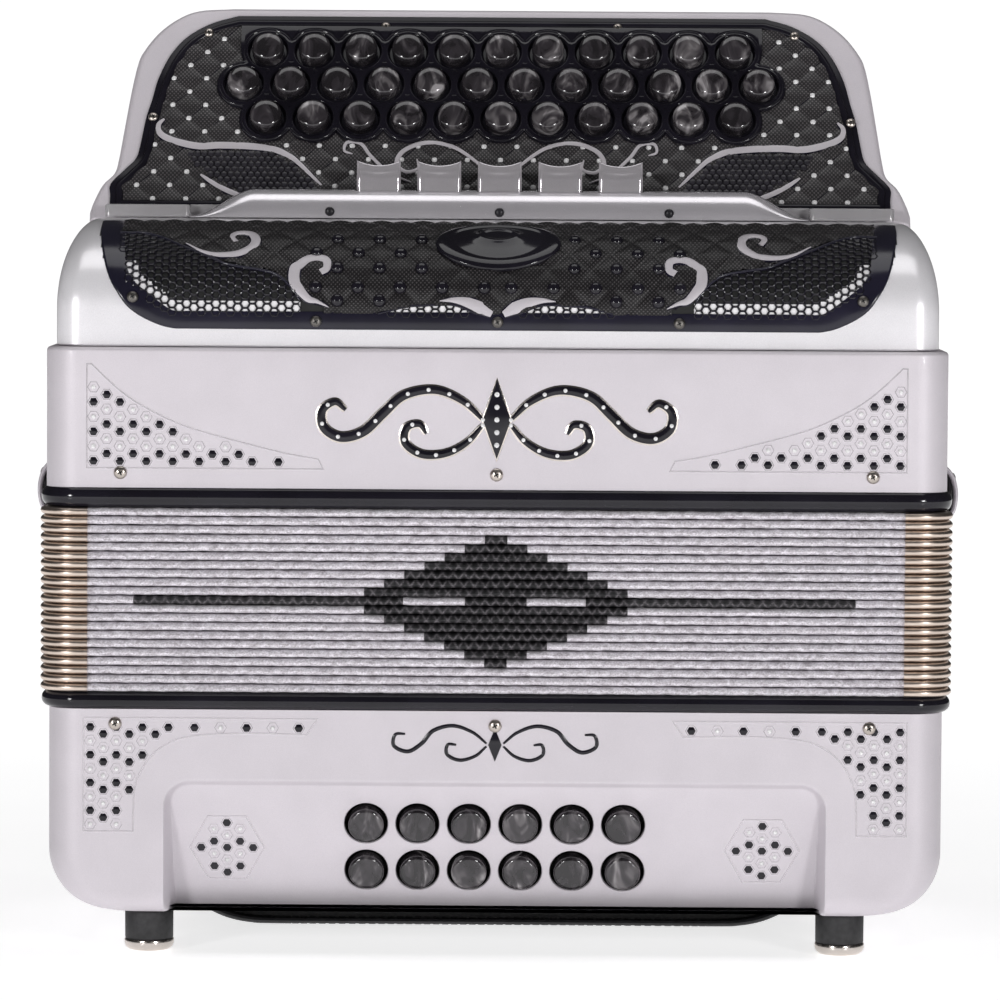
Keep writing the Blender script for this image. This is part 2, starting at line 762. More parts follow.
def screw(shape, place, radius, head=0, slot_dark=1):
    """A domed screw with a crossed recess."""
    r = radius
    shape.turned([(0, -0.6), (r, -0.6), (r, 0.15 * r), (r * 0.9, r * 0.32), (r * 0.6, r * 0.5),
                  (r * 0.3, r * 0.57), (0, r * 0.58)], place, 28, head)
    for turn in (0.5, 0.5 + math.pi / 2):
        spin = place @ Matrix.Rotation(turn, 4, "Z") @ Matrix.Translation((0, 0, r * 0.5))
        w, l, t = r * 0.1, r * 0.42, r * 0.1
        outline = [(-l, -w), (l, -w), (l, w), (-l, w)]
        shape.prism(outline, 0, t, spin, 0, slot_dark)


def casing_screws():
    bass, treble = Shape(), Shape()
    for x, bass_x in ((-133.8, -135.5), (0.0, 0.0), (133.8, 133.3)):
        screw(treble, front_place(x, TREBLE_SCREWS_Z), 2.35)
        screw(bass, front_place(bass_x, BASS_SCREWS_Z), 2.35)
        screw(treble, back_place(x, TREBLE_SCREWS_Z), 2.3)
        screw(bass, back_place(x, BASS_SCREWS_Z), 2.3)
    put(piece("bass_frame_screws", bass, [SCREW, DARK]), "bass")
    put(piece("treble_frame_screws", treble, [SCREW, DARK]), "treble")


# ---- feet, end plate, hand strap, air button ------------------------------------------------
def feet():
    discs, pads = Shape(), Shape()
    disc = [(0, 0), (4.5, 0), (7.4, 0.5), (8.6, 1.5), (9, 2.6), (9, 3.9), (8.8, 4.3), (0, 4.3)]
    pad = [(0, 4.3), (8.3, 4.3), (8.7, 4.9), (8.75, 14.6), (8.4, 15.2), (0, 15.2)]
    for x in (-FOOT_AT[0], FOOT_AT[0]):
        for y in (-FOOT_AT[1], FOOT_AT[1]):
            spot = Matrix.Translation((x, y, 0))
            discs.turned(disc, spot, 48)
            pads.turned(pad, spot, 48)
    put(piece("foot_discs", discs, [NICKEL]), "bass")
    put(piece("foot_pads", pads, [RUBBER]), "bass")


def end_plate():
    ring = casing_ring(BASS_HALF - BASS_CORNER, DEPTH / 2 - BASS_EDGE, PLAN_RADIUS, BASS_FLOOR, recess_depth)
    outline = inset([point[:2] for point in ring], 3.4)
    shape = Shape()
    shape.prism(outline, BASS_FLOOR, BASS_FLOOR + 1.5, Matrix.Identity(4))
    for x in (-96, -32, 32, 96):
        for y in (-56, 70):
            screw(shape, place_at((x, y, BASS_FLOOR), (1, 0, 0), (0, -1, 0)), 2.0, 1, 2)
    put(piece("bass_end_cover", shape, [SATIN_BLACK, SCREW, DARK]), "bass",
        ["bass_end_plate"])


def strap_path():
    """The hand strap seen from the front: flat on the end cover, bowed under it."""
    low = STRAP_LOW.z + 1.2
    top = STRAP_HIGH.z - 1.2
    half = [(0, low), (40, low), (80, low), (90, low + 0.4), (98, low + 2.0), (105, low + 5.0),
            (111, top - 0.2), (118, top), (124.6, top)]
    left = [(-x, z) for x, z in reversed(half[1:])]
    return smooth_curve(left + half, 6)


def bass_strap():
    path = strap_path()
    wide = 31.0                        # half the strap's width
    thick = 1.2                        # half its thickness
    shape = Shape()
    rows = []
    for k, (x, z) in enumerate(path):
        before, after = path[max(k - 1, 0)], path[min(k + 1, len(path) - 1)]
        along = Vector((after[0] - before[0], after[1] - before[1])).normalized()
        up = Vector((-along.y, along.x))
        reach = wide - 5 * ramp((abs(x) - 119) / 6)
        section = []
        for y, t in ((-1, 0), (-0.985, 0.7), (-0.93, 1), (-0.5, 1.03), (0, 1.05), (0.5, 1.03),
                     (0.93, 1), (0.985, 0.7), (1, 0), (0.985, -0.7), (0.93, -1), (0, -1.05),
                     (-0.93, -1), (-0.985, -0.7)):
            lift = up * t * thick
            section.append((x + lift.x, y * reach, z + lift.y))
        rows.append(section)
    shape.tube(rows)
    put(piece("bass_hand_strap", shape, [LEATHER]), "bass", ["bass_strap"])
    stitches = Shape()
    thread = [(-1.2, -0.25), (1.2, -0.25), (1.2, 0.25), (-1.2, 0.25)]
    for k in range(4, len(path) - 4):
        for part in (0.25, 0.75):
            (x0, z0), (x1, z1) = path[k], path[k + 1]
            x, z = x0 + (x1 - x0) * part, z0 + (z1 - z0) * part
            along = Vector((x1 - x0, 0, z1 - z0)).normalized()
            for y in (-wide + 3, wide - 3):
                for facing in (1, -1):
                    stitches.prism(thread, 1.1, 1.45, place_at((x, y, z), along, (0, facing, 0)), 0.1)
    put(piece("bass_strap_stitches", stitches, [LEATHER], 60, merge=False), "bass")
    clips = Shape()
    for s in (-1, 1):
        for y in (-18, 0, 18):
            screw(clips, place_at((s * 118, y, STRAP_LOW.z + 9.0 - 1.2), (1, 0, 0), (0, -1, 0)), 2.6)
    put(piece("bass_strap_screws", clips, [SCREW, DARK]), "bass")


def air_button():
    shape = Shape()
    shape.turned([(0, -14), (6.9, -14), (6.9, 0.2), (6.6, 1.0), (5.8, 1.5), (4.5, 1.35), (2.5, 1.1),
                  (0, 1.0)], air_place(), 48)
    put(piece("air_button_cap", shape, [NICKEL]), "air_button_body", ["air_button"])


# ---- bellows --------------------------------------------------------------------------------
CORNER_SPAN = 16.6


def stretch(obj):
    """Bends a bellows piece between the two ends so that at height z it takes the given share
    of the opening, and around z it stretches by slope."""
    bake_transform(obj)


def tape_section(z, out, ripple):
    """The tape's section over a fold edge, as (outwards, height)."""
    low, high = z - 1.22 + 0.5 * ripple, z + 1.22 + 0.8 * ripple
    return [(-7.0 + out, z - 1.4), (-2.6 + out, low - 0.12), (-1.3 + out, low),
            (-0.4 + out, z - 0.7 + ripple), (out, z + ripple), (-0.4 + out, z + 0.7 + ripple), (-1.3 + out, high),
            (-2.6 + out, high + 0.12), (-7.0 + out, z + 1.4)]


def tape_strip(shape, a, b, z, side, slot, out, phase):
    """One straight stretch of tape over a fold edge, with the small ripples of glued cloth."""
    hx, hy = BELLOWS_HIGH.x, BELLOWS_HIGH.y
    count = max(2, int(abs(b - a) / 1.1))
    rows = []
    for i in range(count + 1):
        u = a + (b - a) * i / count
        wave = 0.09 * math.sin(u * 0.93 + phase) + 0.08 * math.sin(u * 0.37 + phase * 2.3)
        wave += 0.05 * math.sin(u * 1.9 + phase * 1.7)
        row = []
        for o, h in tape_section(z, out, wave):
            if side == "front":
                row.append((u, -hy - o, h))
            elif side == "back":
                row.append((-u, hy + o, h))
            elif side == "right":
                row.append((hx + o, u, h))
            else:
                row.append((-hx - o, -u, h))
        rows.append(row)
    shape.tube(rows, slot)


def front_pattern(row):
    """The tape along the front of one fold: (from, to, 0 for white or 1 for black)."""
    end = BELLOWS_HIGH.x - CORNER_SPAN
    step = abs(row - FOLDS // 2)
    if step == 0:
        marks = [-end, -129, -33, -11, 11, 32, 128, end]
    elif step <= 7:
        half = 4 + 7.15 * (7 - step)
        marks = [-end, -half, half, end]
    else:
        marks = [-end, end]
    return [(a, b, i % 2) for i, (a, b) in enumerate(zip(marks, marks[1:]))]


def corner_strip(shape, z):
    """A nickel corner protector over one fold edge, at each of the four corners."""
    hx, hy = BELLOWS_HIGH.x, BELLOWS_HIGH.y
    radius = 12.0
    straight = CORNER_SPAN - radius + 0.4
    path = []
    for i in range(4):
        path.append(((hx - radius - straight * (1 - i / 4)), -hy, 0, -1))
    for i in range(13):
        a = -math.pi / 2 + math.pi / 2 * i / 12
        path.append((hx - radius + radius * math.cos(a), -hy + radius + radius * math.sin(a),
                     math.cos(a), math.sin(a)))
    for i in range(1, 5):
        path.append((hx, -hy + radius + straight * i / 4, 1, 0))
    section = [(-6, -1.54), (-2, -1.53), (-0.8, -1.44), (0.1, -1.1), (0.55, -0.6), (0.72, 0), (0.55, 0.6),
               (0.1, 1.1), (-0.8, 1.44), (-2, 1.53), (-6, 1.54)]
    for sx in (1, -1):
        for sy in (1, -1):
            rows = [[(sx * (x + nx * o), sy * (y + ny * o), z + h) for o, h in section]
                    for x, y, nx, ny in path]
            shape.tube(rows)


def bellows():
    rng = random.Random(SEED)
    side_end = BELLOWS_HIGH.y - CORNER_SPAN
    front_end = BELLOWS_HIGH.x - CORNER_SPAN
    first = None
    for k in range(FOLDS):
        z = FOLD_START + (k + 0.5) * PITCH
        fold = Shape()
        p = PITCH / 2
        profile = [(-14, z - p), (-1.6, z - 0.15), (-1.6, z + 0.15), (-14, z + p), (-15.5, z + p),
                   (-5, z), (-15.5, z - p)]
        sweep(fold, profile, BELLOWS_HIGH.x, BELLOWS_HIGH.y, 12, steps=4)
        card_piece = piece(f"bellows_fold_{k + 1:02d}", fold, [CARD], 60)
        stretch(card_piece)
        first = first or card_piece
        tape = Shape()
        phase = rng.uniform(0, TAU)
        for a, b, dark in front_pattern(k):
            tape_strip(tape, a, b, z, "front", dark, 0.12 * dark, phase)
        tape_strip(tape, -front_end, front_end, z, "back", 0, 0, phase + 1)
        tape_strip(tape, -side_end, side_end, z, "right", 0, 0, phase + 2)
        tape_strip(tape, -side_end, side_end, z, "left", 0, 0, phase + 3)
        tape_piece = piece(f"bellows_tape_{k + 1:02d}", tape, [TAPE, TAPE_BLACK], 50)
        stretch(tape_piece)
        corners = Shape()
        corner_strip(corners, z)
        corner_piece = piece(f"bellows_corners_{k + 1:02d}", corners, [CORNER_NICKEL], 50)
        stretch(corner_piece)
    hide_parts("bellows")


# ---- treble casing and cover ----------------------------------------------------------------
def treble_casing():
    edge = 1.6
    heights = [TREBLE_FLOOR, 175, 190, 205, SEAM - edge]
    heights += [SEAM - edge + edge * math.sin(a * math.pi / 12) for a in range(1, 7)]
    rows = []
    for z in heights:
        shrink = rounding(2 * SEAM - z, SEAM, edge)
        rows.append(casing_ring(TREBLE_HALF - shrink, DEPTH / 2 - shrink, PLAN_RADIUS - shrink, z))
    shape = Shape()
    shape.stack(rows)
    put(piece("treble_casing_shell", shape, [SILVER]), "treble", ["treble_casing"])


def cover_front(z):
    """Y of the cover's front face at a height."""
    if z <= COVER_BEND:
        return COVER_FRONT
    t = min((z - COVER_BEND) / (COVER_TOP - COVER_BEND), 1)
    return COVER_BEND_BACK - (COVER_BEND_BACK - COVER_FRONT) * math.sqrt(1 - t * t)


def cover_half(z):
    """Half width of the cover at a height."""
    rx, rz = COVER_SIDE
    t = min(max((z - (COVER_TOP - rz)) / rz, 0), 1)
    return COVER_HIGH.x - rx + rx * math.sqrt(1 - t * t)


def grille_cover():
    heights = [COVER_LOW.z, COVER_LOW.z + 0.5, 225, COVER_BEND]
    heights += [COVER_BEND + (COVER_TOP - COVER_BEND) * math.sin(a * math.pi / 48) for a in range(1, 25)]
    back = COVER_HIGH.y
    rows = []
    for i, z in enumerate(heights):
        shrink = 0.5 if i == 0 else 0
        half = cover_half(z) - shrink
        front = cover_front(z) + shrink
        radius = max(min(9, half - 143.6), 0.8)
        side = back - front - radius
        ring = [(-half, back - side * k / 8, z) for k in range(9)]
        left = arc(-half + radius, front + radius, radius, math.pi, math.pi * 1.5, 10)
        ring += [(x, y, z) for x, y in left[1:]]
        ring += [((-1 + 2 * k / 60) * (half - radius), front, z) for k in range(1, 60)]
        ring += [(x, y, z) for x, y in arc(half - radius, front + radius, radius, -math.pi / 2, 0, 10)]
        ring += [(half, front + radius + side * k / 8, z) for k in range(1, 9)]
        rows.append(ring)
    shape = Shape()
    shape.stack(rows)
    put(piece("grille_cover_shell", shape, [COVER_SILVER], 40), "treble", ["grille_cover"])


# ---- cover ornament -------------------------------------------------------------------------
def cover_curve():
    """The cover's front profile as (arc length above the lower edge, Y, Z), up to the top."""
    points = [(COVER_FRONT, 224.4), (COVER_FRONT, COVER_BEND)]
    for a in range(1, 121):
        t = math.pi / 2 * a / 120
        points.append((COVER_BEND_BACK - (COVER_BEND_BACK - COVER_FRONT) * math.cos(t),
                       COVER_BEND + (COVER_TOP - COVER_BEND) * math.sin(t)))
    table = [(0.0, *points[0])]
    for (y0, z0), (y1, z1) in zip(points, points[1:]):
        table.append((table[-1][0] + math.hypot(y1 - y0, z1 - z0), y1, z1))
    return np.array(table)


COVER_TABLE = cover_curve()


def on_cover(x, s, h=0.0):
    """The point h above the cover's front surface, at arc length s."""
    reach, ys, zs = COVER_TABLE.T
    y = float(np.interp(s, reach, ys))
    z = float(np.interp(s, reach, zs))
    y1 = float(np.interp(s + 0.4, reach, ys)) - float(np.interp(s - 0.4, reach, ys))
    z1 = float(np.interp(s + 0.4, reach, zs)) - float(np.interp(s - 0.4, reach, zs))
    length = math.hypot(y1, z1) or 1.0
    return Vector((x, y - h * z1 / length, z + h * y1 / length))


def cover_frame(x, s, h=0.0):
    """A frame lying on the cover: X to the right, Y up the curve, Z outwards."""
    p = on_cover(x, s, h)
    up = on_cover(x, s + 0.4, h) - on_cover(x, s - 0.4, h)
    return place_at(p, (1, 0, 0), up)


def on_board(x, v, h=0.0):
    return BOARD @ Vector((x, v, h))


def board_frame(x, v, h=0.0):
    return BOARD @ Matrix.Translation((x, v, h))


def inside(x, y, outline):
    """Whether a point lies in a closed outline."""
    hit = False
    x0, y0 = outline[-1]
    for x1, y1 in outline:
        if (y0 > y) != (y1 > y) and x < (x1 - x0) * (y - y0) / (y1 - y0) + x0:
            hit = not hit
        x0, y0 = x1, y1
    return hit


def edge_distance(x, y, outline):
    """Distance from a point to a closed outline."""
    a = np.array(outline)
    ab = np.roll(a, -1, axis=0) - a
    from_a = np.array((x, y)) - a
    t = np.clip((from_a * ab).sum(1) / np.maximum((ab ** 2).sum(1), 1e-9), 0, 1)
    away = from_a - ab * t[:, None]
    return float(np.min(np.hypot(away[:, 0], away[:, 1])))


def resample(outline, count, closed=True):
    """Points spaced evenly along a line."""
    points = [Vector(p) for p in outline] + ([Vector(outline[0])] if closed else [])
    lengths = [0.0]
    for a, b in zip(points, points[1:]):
        lengths.append(lengths[-1] + (b - a).length)
    result = []
    for i in range(count):
        at = lengths[-1] * i / (count if closed else count - 1)
        result.append((float(np.interp(at, lengths, [p.x for p in points])),
                       float(np.interp(at, lengths, [p.y for p in points]))))
    return result


GRILLE_HALF = [(0, 0.2), (60, 0.2), (106.3, 0.2), (116.6, 0.5), (124.5, 3.2), (130.9, 7.2), (134.8, 12),
               (138.5, 18.8), (141.1, 29), (142.9, 44), (143.2, 57.2)]
GRILLE_TOP = 57.6
GRILLE_INNER_HALF = [(0, 6.0), (60, 6.0), (106, 6.0), (115.5, 6.2), (119.8, 8.4), (124, 11.5), (129.1, 15.8),
                     (131.6, 19.2), (133.3, 24.5), (134.2, 33), (134.9, 43.2), (135.3, 57.2)]
HEX_TOP_HALF = [(70.4, 10.5), (73.5, 15.2), (80.6, 20.8), (95.7, 24), (100.8, 26.5), (111.6, 32.8),
                (120.5, 39.2), (127.7, 42.8), (135.8, 42.8)]
SCROLL = [(111.7, 34.5), (106, 30.2), (100.9, 28.5), (95.8, 28.5), (91.9, 29.5), (88, 32.8), (86.8, 36.8),
          (88.3, 41), (91.3, 42.5), (94.3, 41.5), (95.2, 38.8), (93.9, 35.8)]
CURL = [(63.2, 20.8), (61, 22.5), (61.3, 26), (64.3, 27.2), (67.8, 26.5), (70.5, 24), (72.3, 22),
        (72.4, 17.2), (70.5, 14.2), (67.4, 11), (64.1, 10), (60.1, 8.2)]
GRILLE_LEAF = [(20.6, 10.5), (15.6, 10.8), (10.6, 10), (6.1, 8.2), (2.1, 6)]
WINDOW = [(42.6, 6), (38.6, 7), (32.6, 8.5), (25.6, 9), (15.6, 9.2), (7.1, 6)]
GRILLE_QUILT = 15.0                # size of a quilted diamond
GRILLE_QUILT_FOOT = 15.2
GRILLE_QUILT_SHIFT = 0.32
MEDALLION = (22.4, 13.7)           # half width and half height
MEDALLION_UP = 35.5                # its middle, up the cover


def hex_top(x):
    """Upper edge of the open hexagon mesh, at |x|."""
    xs = [p[0] for p in HEX_TOP_HALF]
    ys = [p[1] for p in HEX_TOP_HALF]
    if abs(x) < xs[0]:
        return 0.0
    return float(np.interp(abs(x), xs, ys))


def in_window(x, s):
    xs = [p[0] for p in reversed(WINDOW)]
    ys = [p[1] for p in reversed(WINDOW)]
    return xs[0] < abs(x) < xs[-1] and s < float(np.interp(abs(x), xs, ys))


def sheet_on(shape, surface, outline, high_of, step, skip=None, slot_of=None):
    """A fine square grid over an outline, lifted by high_of(x, y); cells outside are left out."""
    xs = np.arange(min(p[0] for p in outline), max(p[0] for p in outline) + step, step)
    ys = np.arange(min(p[1] for p in outline), max(p[1] for p in outline) + step, step)
    index = {}
    points = []
    faces = []
    slots = []

    def corner(i, j):
        if (i, j) not in index:
            index[(i, j)] = len(points)
            points.append(surface(float(xs[i]), float(ys[j]), high_of(float(xs[i]), float(ys[j]))))
        return index[(i, j)]
    for j in range(len(ys) - 1):
        for i in range(len(xs) - 1):
            x, y = float(xs[i] + step / 2), float(ys[j] + step / 2)
            if not inside(x, y, outline) or (skip and skip(x, y)):
                continue
            faces.append((corner(i, j), corner(i + 1, j), corner(i + 1, j + 1), corner(i, j + 1)))
            slots.append(slot_of(x, y) if slot_of else 0)
    base = len(shape.points)
    shape.points += [Vector(p) for p in points]
    for face, s in zip(faces, slots):
        shape.faces.append([base + i for i in face])
        shape.slots.append(s)


def quilt(x, y, pitch_x, pitch_y, tall, shift=0.0):
    """Puffed diamonds with sharp valleys between them."""
    a = (x / pitch_x + y / pitch_y + shift) % 1.0
    b = (x / pitch_x - y / pitch_y + shift) % 1.0
    return tall * min(abs(math.sin(math.pi * a)), abs(math.sin(math.pi * b))) ** 0.55


def seams(shape, surface, pitch, shift, base, lift, keep):
    """The dark valleys of a quilt, as narrow ribbons wherever keep(x, y) is true."""
    for sign in (1, -1):
        for k in range(-22, 23):
            run = []
            for i in range(202):
                x = -150 + 1.5 * i
                y = base + sign * pitch[1] * (x / pitch[0] + shift - k)
                if 3 < y < 84 and i < 201 and keep(x, y):
                    run.append((x, y))
                    continue
                if len(run) > 2:
                    shape.ribbon(run, [0.75] * len(run), lift, 0.12, surface)
                run = []


def dome_spots():
    """Where the gloss domes sit, at the crossings of the quilted diamonds."""
    spots = []
    for s, start, stop in ((38.2, 27.4, 60), (30.0, 19.8, 66), (22.8, 12.2, 60), (15.2, 4.8, 66),
                           (10.5, 42.1, 60)):
        x = start
        while x < stop:
            spots += [(x, s), (-x, s)]
            x += GRILLE_QUILT
    return spots


def grille_outlines():
    """The outer and inner edge of the black border, closed along the top."""
    outer = mirror_outline(smooth_curve(GRILLE_HALF, 4)[1:])
    inner = mirror_outline(smooth_curve(GRILLE_INNER_HALF, 4)[1:])
    return resample(outer, 300), resample(inner, 300)


def grille_backing(outer, inner):
    def lined(x, s):
        """Where the pale lining shows through the mesh: a band along the lower rim."""
        if s > 26 or not (in_window(x, s - 0.6) or abs(x) > 70):
            return False
        return not inside(x, s, inner) or edge_distance(x, s, inner) < 4.4
    backing = Shape()
    sheet_on(backing, on_cover, outer, lambda x, s: 0.12, 1.0, slot_of=lambda x, s: 0 if lined(x, s) else 1)
    put(piece("grille_backing", backing, [PRINT_WHITE, DARK], merge=False), "treble")


def grille_border():
    lines = []
    for half in (GRILLE_HALF, GRILLE_INNER_HALF):
        side = [p for p in smooth_curve(half, 4) if p[1] <= GRILLE_TOP]
        lines.append(resample([(-x, s) for x, s in reversed(side)] + side[1:], 420, False))
    border = Shape()
    rows = []
    for t, h in ((0, 0.0), (0, 0.3), (0.04, 0.55), (0.12, 0.65), (0.5, 0.68), (0.9, 0.65), (1.04, 0.6),
                 (1.1, 0.5), (1.1, 0.0)):
        rows.append([on_cover(p[0] + (q[0] - p[0]) * t, p[1] + (q[1] - p[1]) * t, h)
                     for p, q in zip(*lines)])
    border.grid(rows)
    border.cap([row[0] for row in rows])
    border.cap([row[-1] for row in rows], flip=True)
    put(piece("grille_border", border, [BORDER], 50), "treble")


def grille_panel(inner):
    """The woven panel inside the border, puffed in diamonds with dark valleys."""
    def raised(x, s):
        return 0.3 + quilt(x, s - GRILLE_QUILT_FOOT, GRILLE_QUILT, GRILLE_QUILT, 1.1, GRILLE_QUILT_SHIFT)

    def left_open(x, s):
        return s < hex_top(x) + 0.8 or in_window(x, s) or (abs(x) > 62 and s < 10.5)

    def in_valley(x, s):
        return inside(x, s, inner) and s > max(hex_top(x) + 1.2, 8) and not in_window(x, s)
    panel = Shape()
    sheet_on(panel, on_cover, inner, raised, 0.75, skip=left_open)
    put(piece("grille_quilt", panel, [DARK_WOVEN], 60, merge=False), "treble")
    grooves = Shape()
    seams(grooves, on_cover, (GRILLE_QUILT, GRILLE_QUILT), GRILLE_QUILT_SHIFT, GRILLE_QUILT_FOOT, 0.38,
          in_valley)
    put(piece("grille_quilt_seams", grooves, [PLATE_BLACK], 60), "treble")


def grille_domes():
    """Gloss domes on the panel, left out under the medallion."""
    knobs = Shape()
    dome = [(0, 0), (2.35, 0), (2.3, 1.3), (2.0, 1.95), (1.4, 2.45), (0.7, 2.65), (0, 2.72)]
    for x, s in dome_spots():
        if math.hypot(x / 24.5, (s - MEDALLION_UP) / 15.0) >= 1:
            knobs.turned(dome, cover_frame(x, s), 20)
    put(piece("grille_domes", knobs, [BLACK], 60), "treble")


def grille_scrolls():
    scroll, rims = Shape(), Shape()
    for sign in (1, -1):
        for line, widths in ((SCROLL, (0.4, 1.4, 2.2, 2.8, 3.1, 3.4, 3.3, 3.0, 2.6, 2.2, 2.0)),
                             (CURL, (2.6, 2.7, 2.9, 3.0, 3.2, 3.5, 3.9, 3.9, 3.2, 2.4, 1.3, 0.3)),
                             (GRILLE_LEAF, (0.3, 1.8, 3.4, 4.2, 2.2))):
            path = side_curve(line, sign)
            spread = np.linspace(0, len(path) - 1, len(widths))
            wide = [float(np.interp(i, spread, widths)) for i in range(len(path))]
            scroll.ribbon(path, wide, 1.15, 0.3, on_cover)
            rims.ribbon(path, [w + 0.9 for w in wide], 0.75, 0.5, on_cover)
        for line in (HEX_TOP_HALF, WINDOW):
            edge = side_curve(line, sign, 6)
            rims.ribbon(edge, [0.9] * len(edge), 0.6, 0.5, on_cover)
    put(piece("grille_scrolls", scroll, [PRINT_SILVER], 60), "treble")
    put(piece("grille_scroll_edges", rims, [BORDER], 60), "treble")


def grille_medallion():
    """A plain oval in steps; its middle sits higher towards the centre."""
    medal = Shape()
    angles = [TAU * i / 64 for i in range(64)]
    rings = []
    for t, h in ((1.0, 0.6), (1.0, 2.4), (0.97, 3.0), (0.9, 3.25), (0.8, 3.1), (0.76, 2.6), (0.7, 2.5),
                 (0.5, 2.9), (0.34, 3.0), (0.31, 3.6), (0.26, 3.7), (0.23, 3.2), (0.12, 3.3), (0.001, 3.35)):
        middle = MEDALLION_UP + 5.5 * (1 - t)
        rings.append([on_cover(MEDALLION[0] * t * math.cos(a), middle + MEDALLION[1] * t * math.sin(a), h * 0.75)
                      for a in angles])
    medal.grid(rings, close_u=True)
    put(piece("grille_medallion", medal, [BLACK], 60), "treble")


def grille():
    outer, inner = grille_outlines()
    grille_backing(outer, inner)
    grille_border()
    grille_panel(inner)
    grille_domes()
    mesh = Shape()
    hex_mesh(mesh, inner)
    put(piece("grille_hex_mesh", mesh, [BLACK], 60, merge=False), "treble")
    grille_scrolls()
    grille_medallion()
    screws = Shape()
    for x, s in ((129.8, 11.2), (-129.8, 11.2), (64.6, 3.1), (-64.6, 3.1), (0, 3.2)):
        screw(screws, cover_frame(x, s, 1.3), 2.0)
    put(piece("grille_screws", screws, [GRILLE_SCREW, DARK]), "treble")


HEX_STEP = (2.6, 3.0)              # between columns, and between cells in a column


def hex_mesh(shape, outline):
    """Flat-topped hexagon bars, in columns that are half a cell apart."""
    reach = HEX_STEP[1] / math.sqrt(3) + 0.03
    for i in range(-54, 55):
        x = 1.2 + i * HEX_STEP[0]
        for j in range(13):
            s = 7.7 + HEX_STEP[1] * (j + (0.5 if i % 2 else 0) - 1)
            open_mesh = 70 < abs(x) and s < hex_top(x) + 0.6
            if not (open_mesh or in_window(x, s - 0.6)) or not inside(x, s + 0.9, outline):
                continue
            rows = [[on_cover(x + r * math.cos(k * math.pi / 3), s + r * math.sin(k * math.pi / 3), h)
                     for k in range(6)]
                    for r, h in ((reach, 0.1), (reach, 0.75), (reach - 0.22, 0.85), (reach - 0.45, 0.7),
                                 (reach - 0.45, 0.1))]
            shape.grid(rows, close_u=True)


# ---- fingerboard ----------------------------------------------------------------------------
BOARD_HALF = [(151.9, 0), (151.9, 4.7), (150.6, 9.3), (147.6, 16.4), (143.5, 21.4), (142.1, 27.5),
              (140.5, 40.6), (138.5, 56.8), (136.5, 68.9), (134.4, 74.5), (129.4, 82.1), (122.3, 88.5),
              (114.2, 92.2), (101.1, 93.2)]
PLATE_HALF = [(144.5, 3), (144.5, 10), (144.5, 15.3), (139.5, 21.4), (135.4, 26.5), (133.9, 33.5),
              (132.4, 43.6), (130.4, 51.7), (128.4, 60.8), (124.3, 70.9), (118.3, 79), (109.2, 85.1),
              (99.1, 88.5)]
BOARD_BACK = 13.0
PLATE_RISE = 1.4
SURROUND_RISE = 3.4
SURROUND_REACH = 10.2
BAND_HALF = 5 * TREBLE_PITCH + SURROUND_REACH      # plain band above the top row
BAND_TOP = 83.4
S_CURVE = [(125.5, 42.6), (127.4, 40.3), (127.3, 37.3), (124.7, 34.7), (118.9, 32.4), (112, 31), (104, 31.4),
           (92.6, 31), (84, 29.7), (78.8, 27.1), (75.3, 24.4), (66.2, 14.5)]
LOW_LEAF = [(111.1, 18.8), (105.9, 14.9), (100.1, 11.6), (93.8, 9), (90.4, 8.7)]
STONE_PITCH = (12.25, 11.52)
STONE_START = 8.8


def treble_places():
    return [((i - (count - 1) / 2) * TREBLE_PITCH, v) for v, count in TREBLE_ROWS for i in range(count)]


def board_outline():
    half = [(151.9, 0), (151.9, 2)] + smooth_curve(BOARD_HALF[1:], 5)
    return mirror_outline(half)


def board_slab():
    """The silver board with its rolled edge, and the root that holds it behind the rail."""
    outline = board_outline()
    slab = Shape()
    edge = 2.6
    rows = []
    for shrink, h in ((1.2, -BOARD_BACK), (0.4, -BOARD_BACK + 0.4), (0, -BOARD_BACK + 1.4), (0, -edge)):
        rows.append([on_board(x, v, h) for x, v in inset(outline, shrink)])
    for a in range(1, 7):
        t = math.pi / 2 * a / 6
        rows.append([on_board(x, v, -edge + edge * math.sin(t))
                     for x, v in inset(outline, edge * (1 - math.cos(t)))])
    slab.stack(rows)
    root = smooth_curve([(38, 218.3), (31.5, 223.5), (25, 232.3), (20.5, 241), (18.5, 250.3),
                         (18.5, 278.4)], 5)
    root = [(-6.3, 218.3)] + root + [(6, 262), (-6.3, 258.5)]
    rows = []
    for x, shrink in ((-138, 1.6), (-137.4, 0.5), (-136.2, 0), (136.2, 0), (137.4, 0.5), (138, 1.6)):
        rows.append([(x, y - (shrink if 6.1 < y else 0), z) for y, z in root])
    slab.tube(rows)
    put(piece("fingerboard_body", slab, [SILVER], 40), "treble", ["fingerboard"])


def board_plate(plate_line):
    face = Shape()
    face.stack([[on_board(x, v, h) for x, v in inset(plate_line, shrink)]
                for shrink, h in ((0, -0.5), (0, PLATE_RISE - 0.4), (0.15, PLATE_RISE - 0.12),
                                  (0.45, PLATE_RISE))])
    put(piece("board_plate", face, [PLATE_BLACK], 40), "treble")


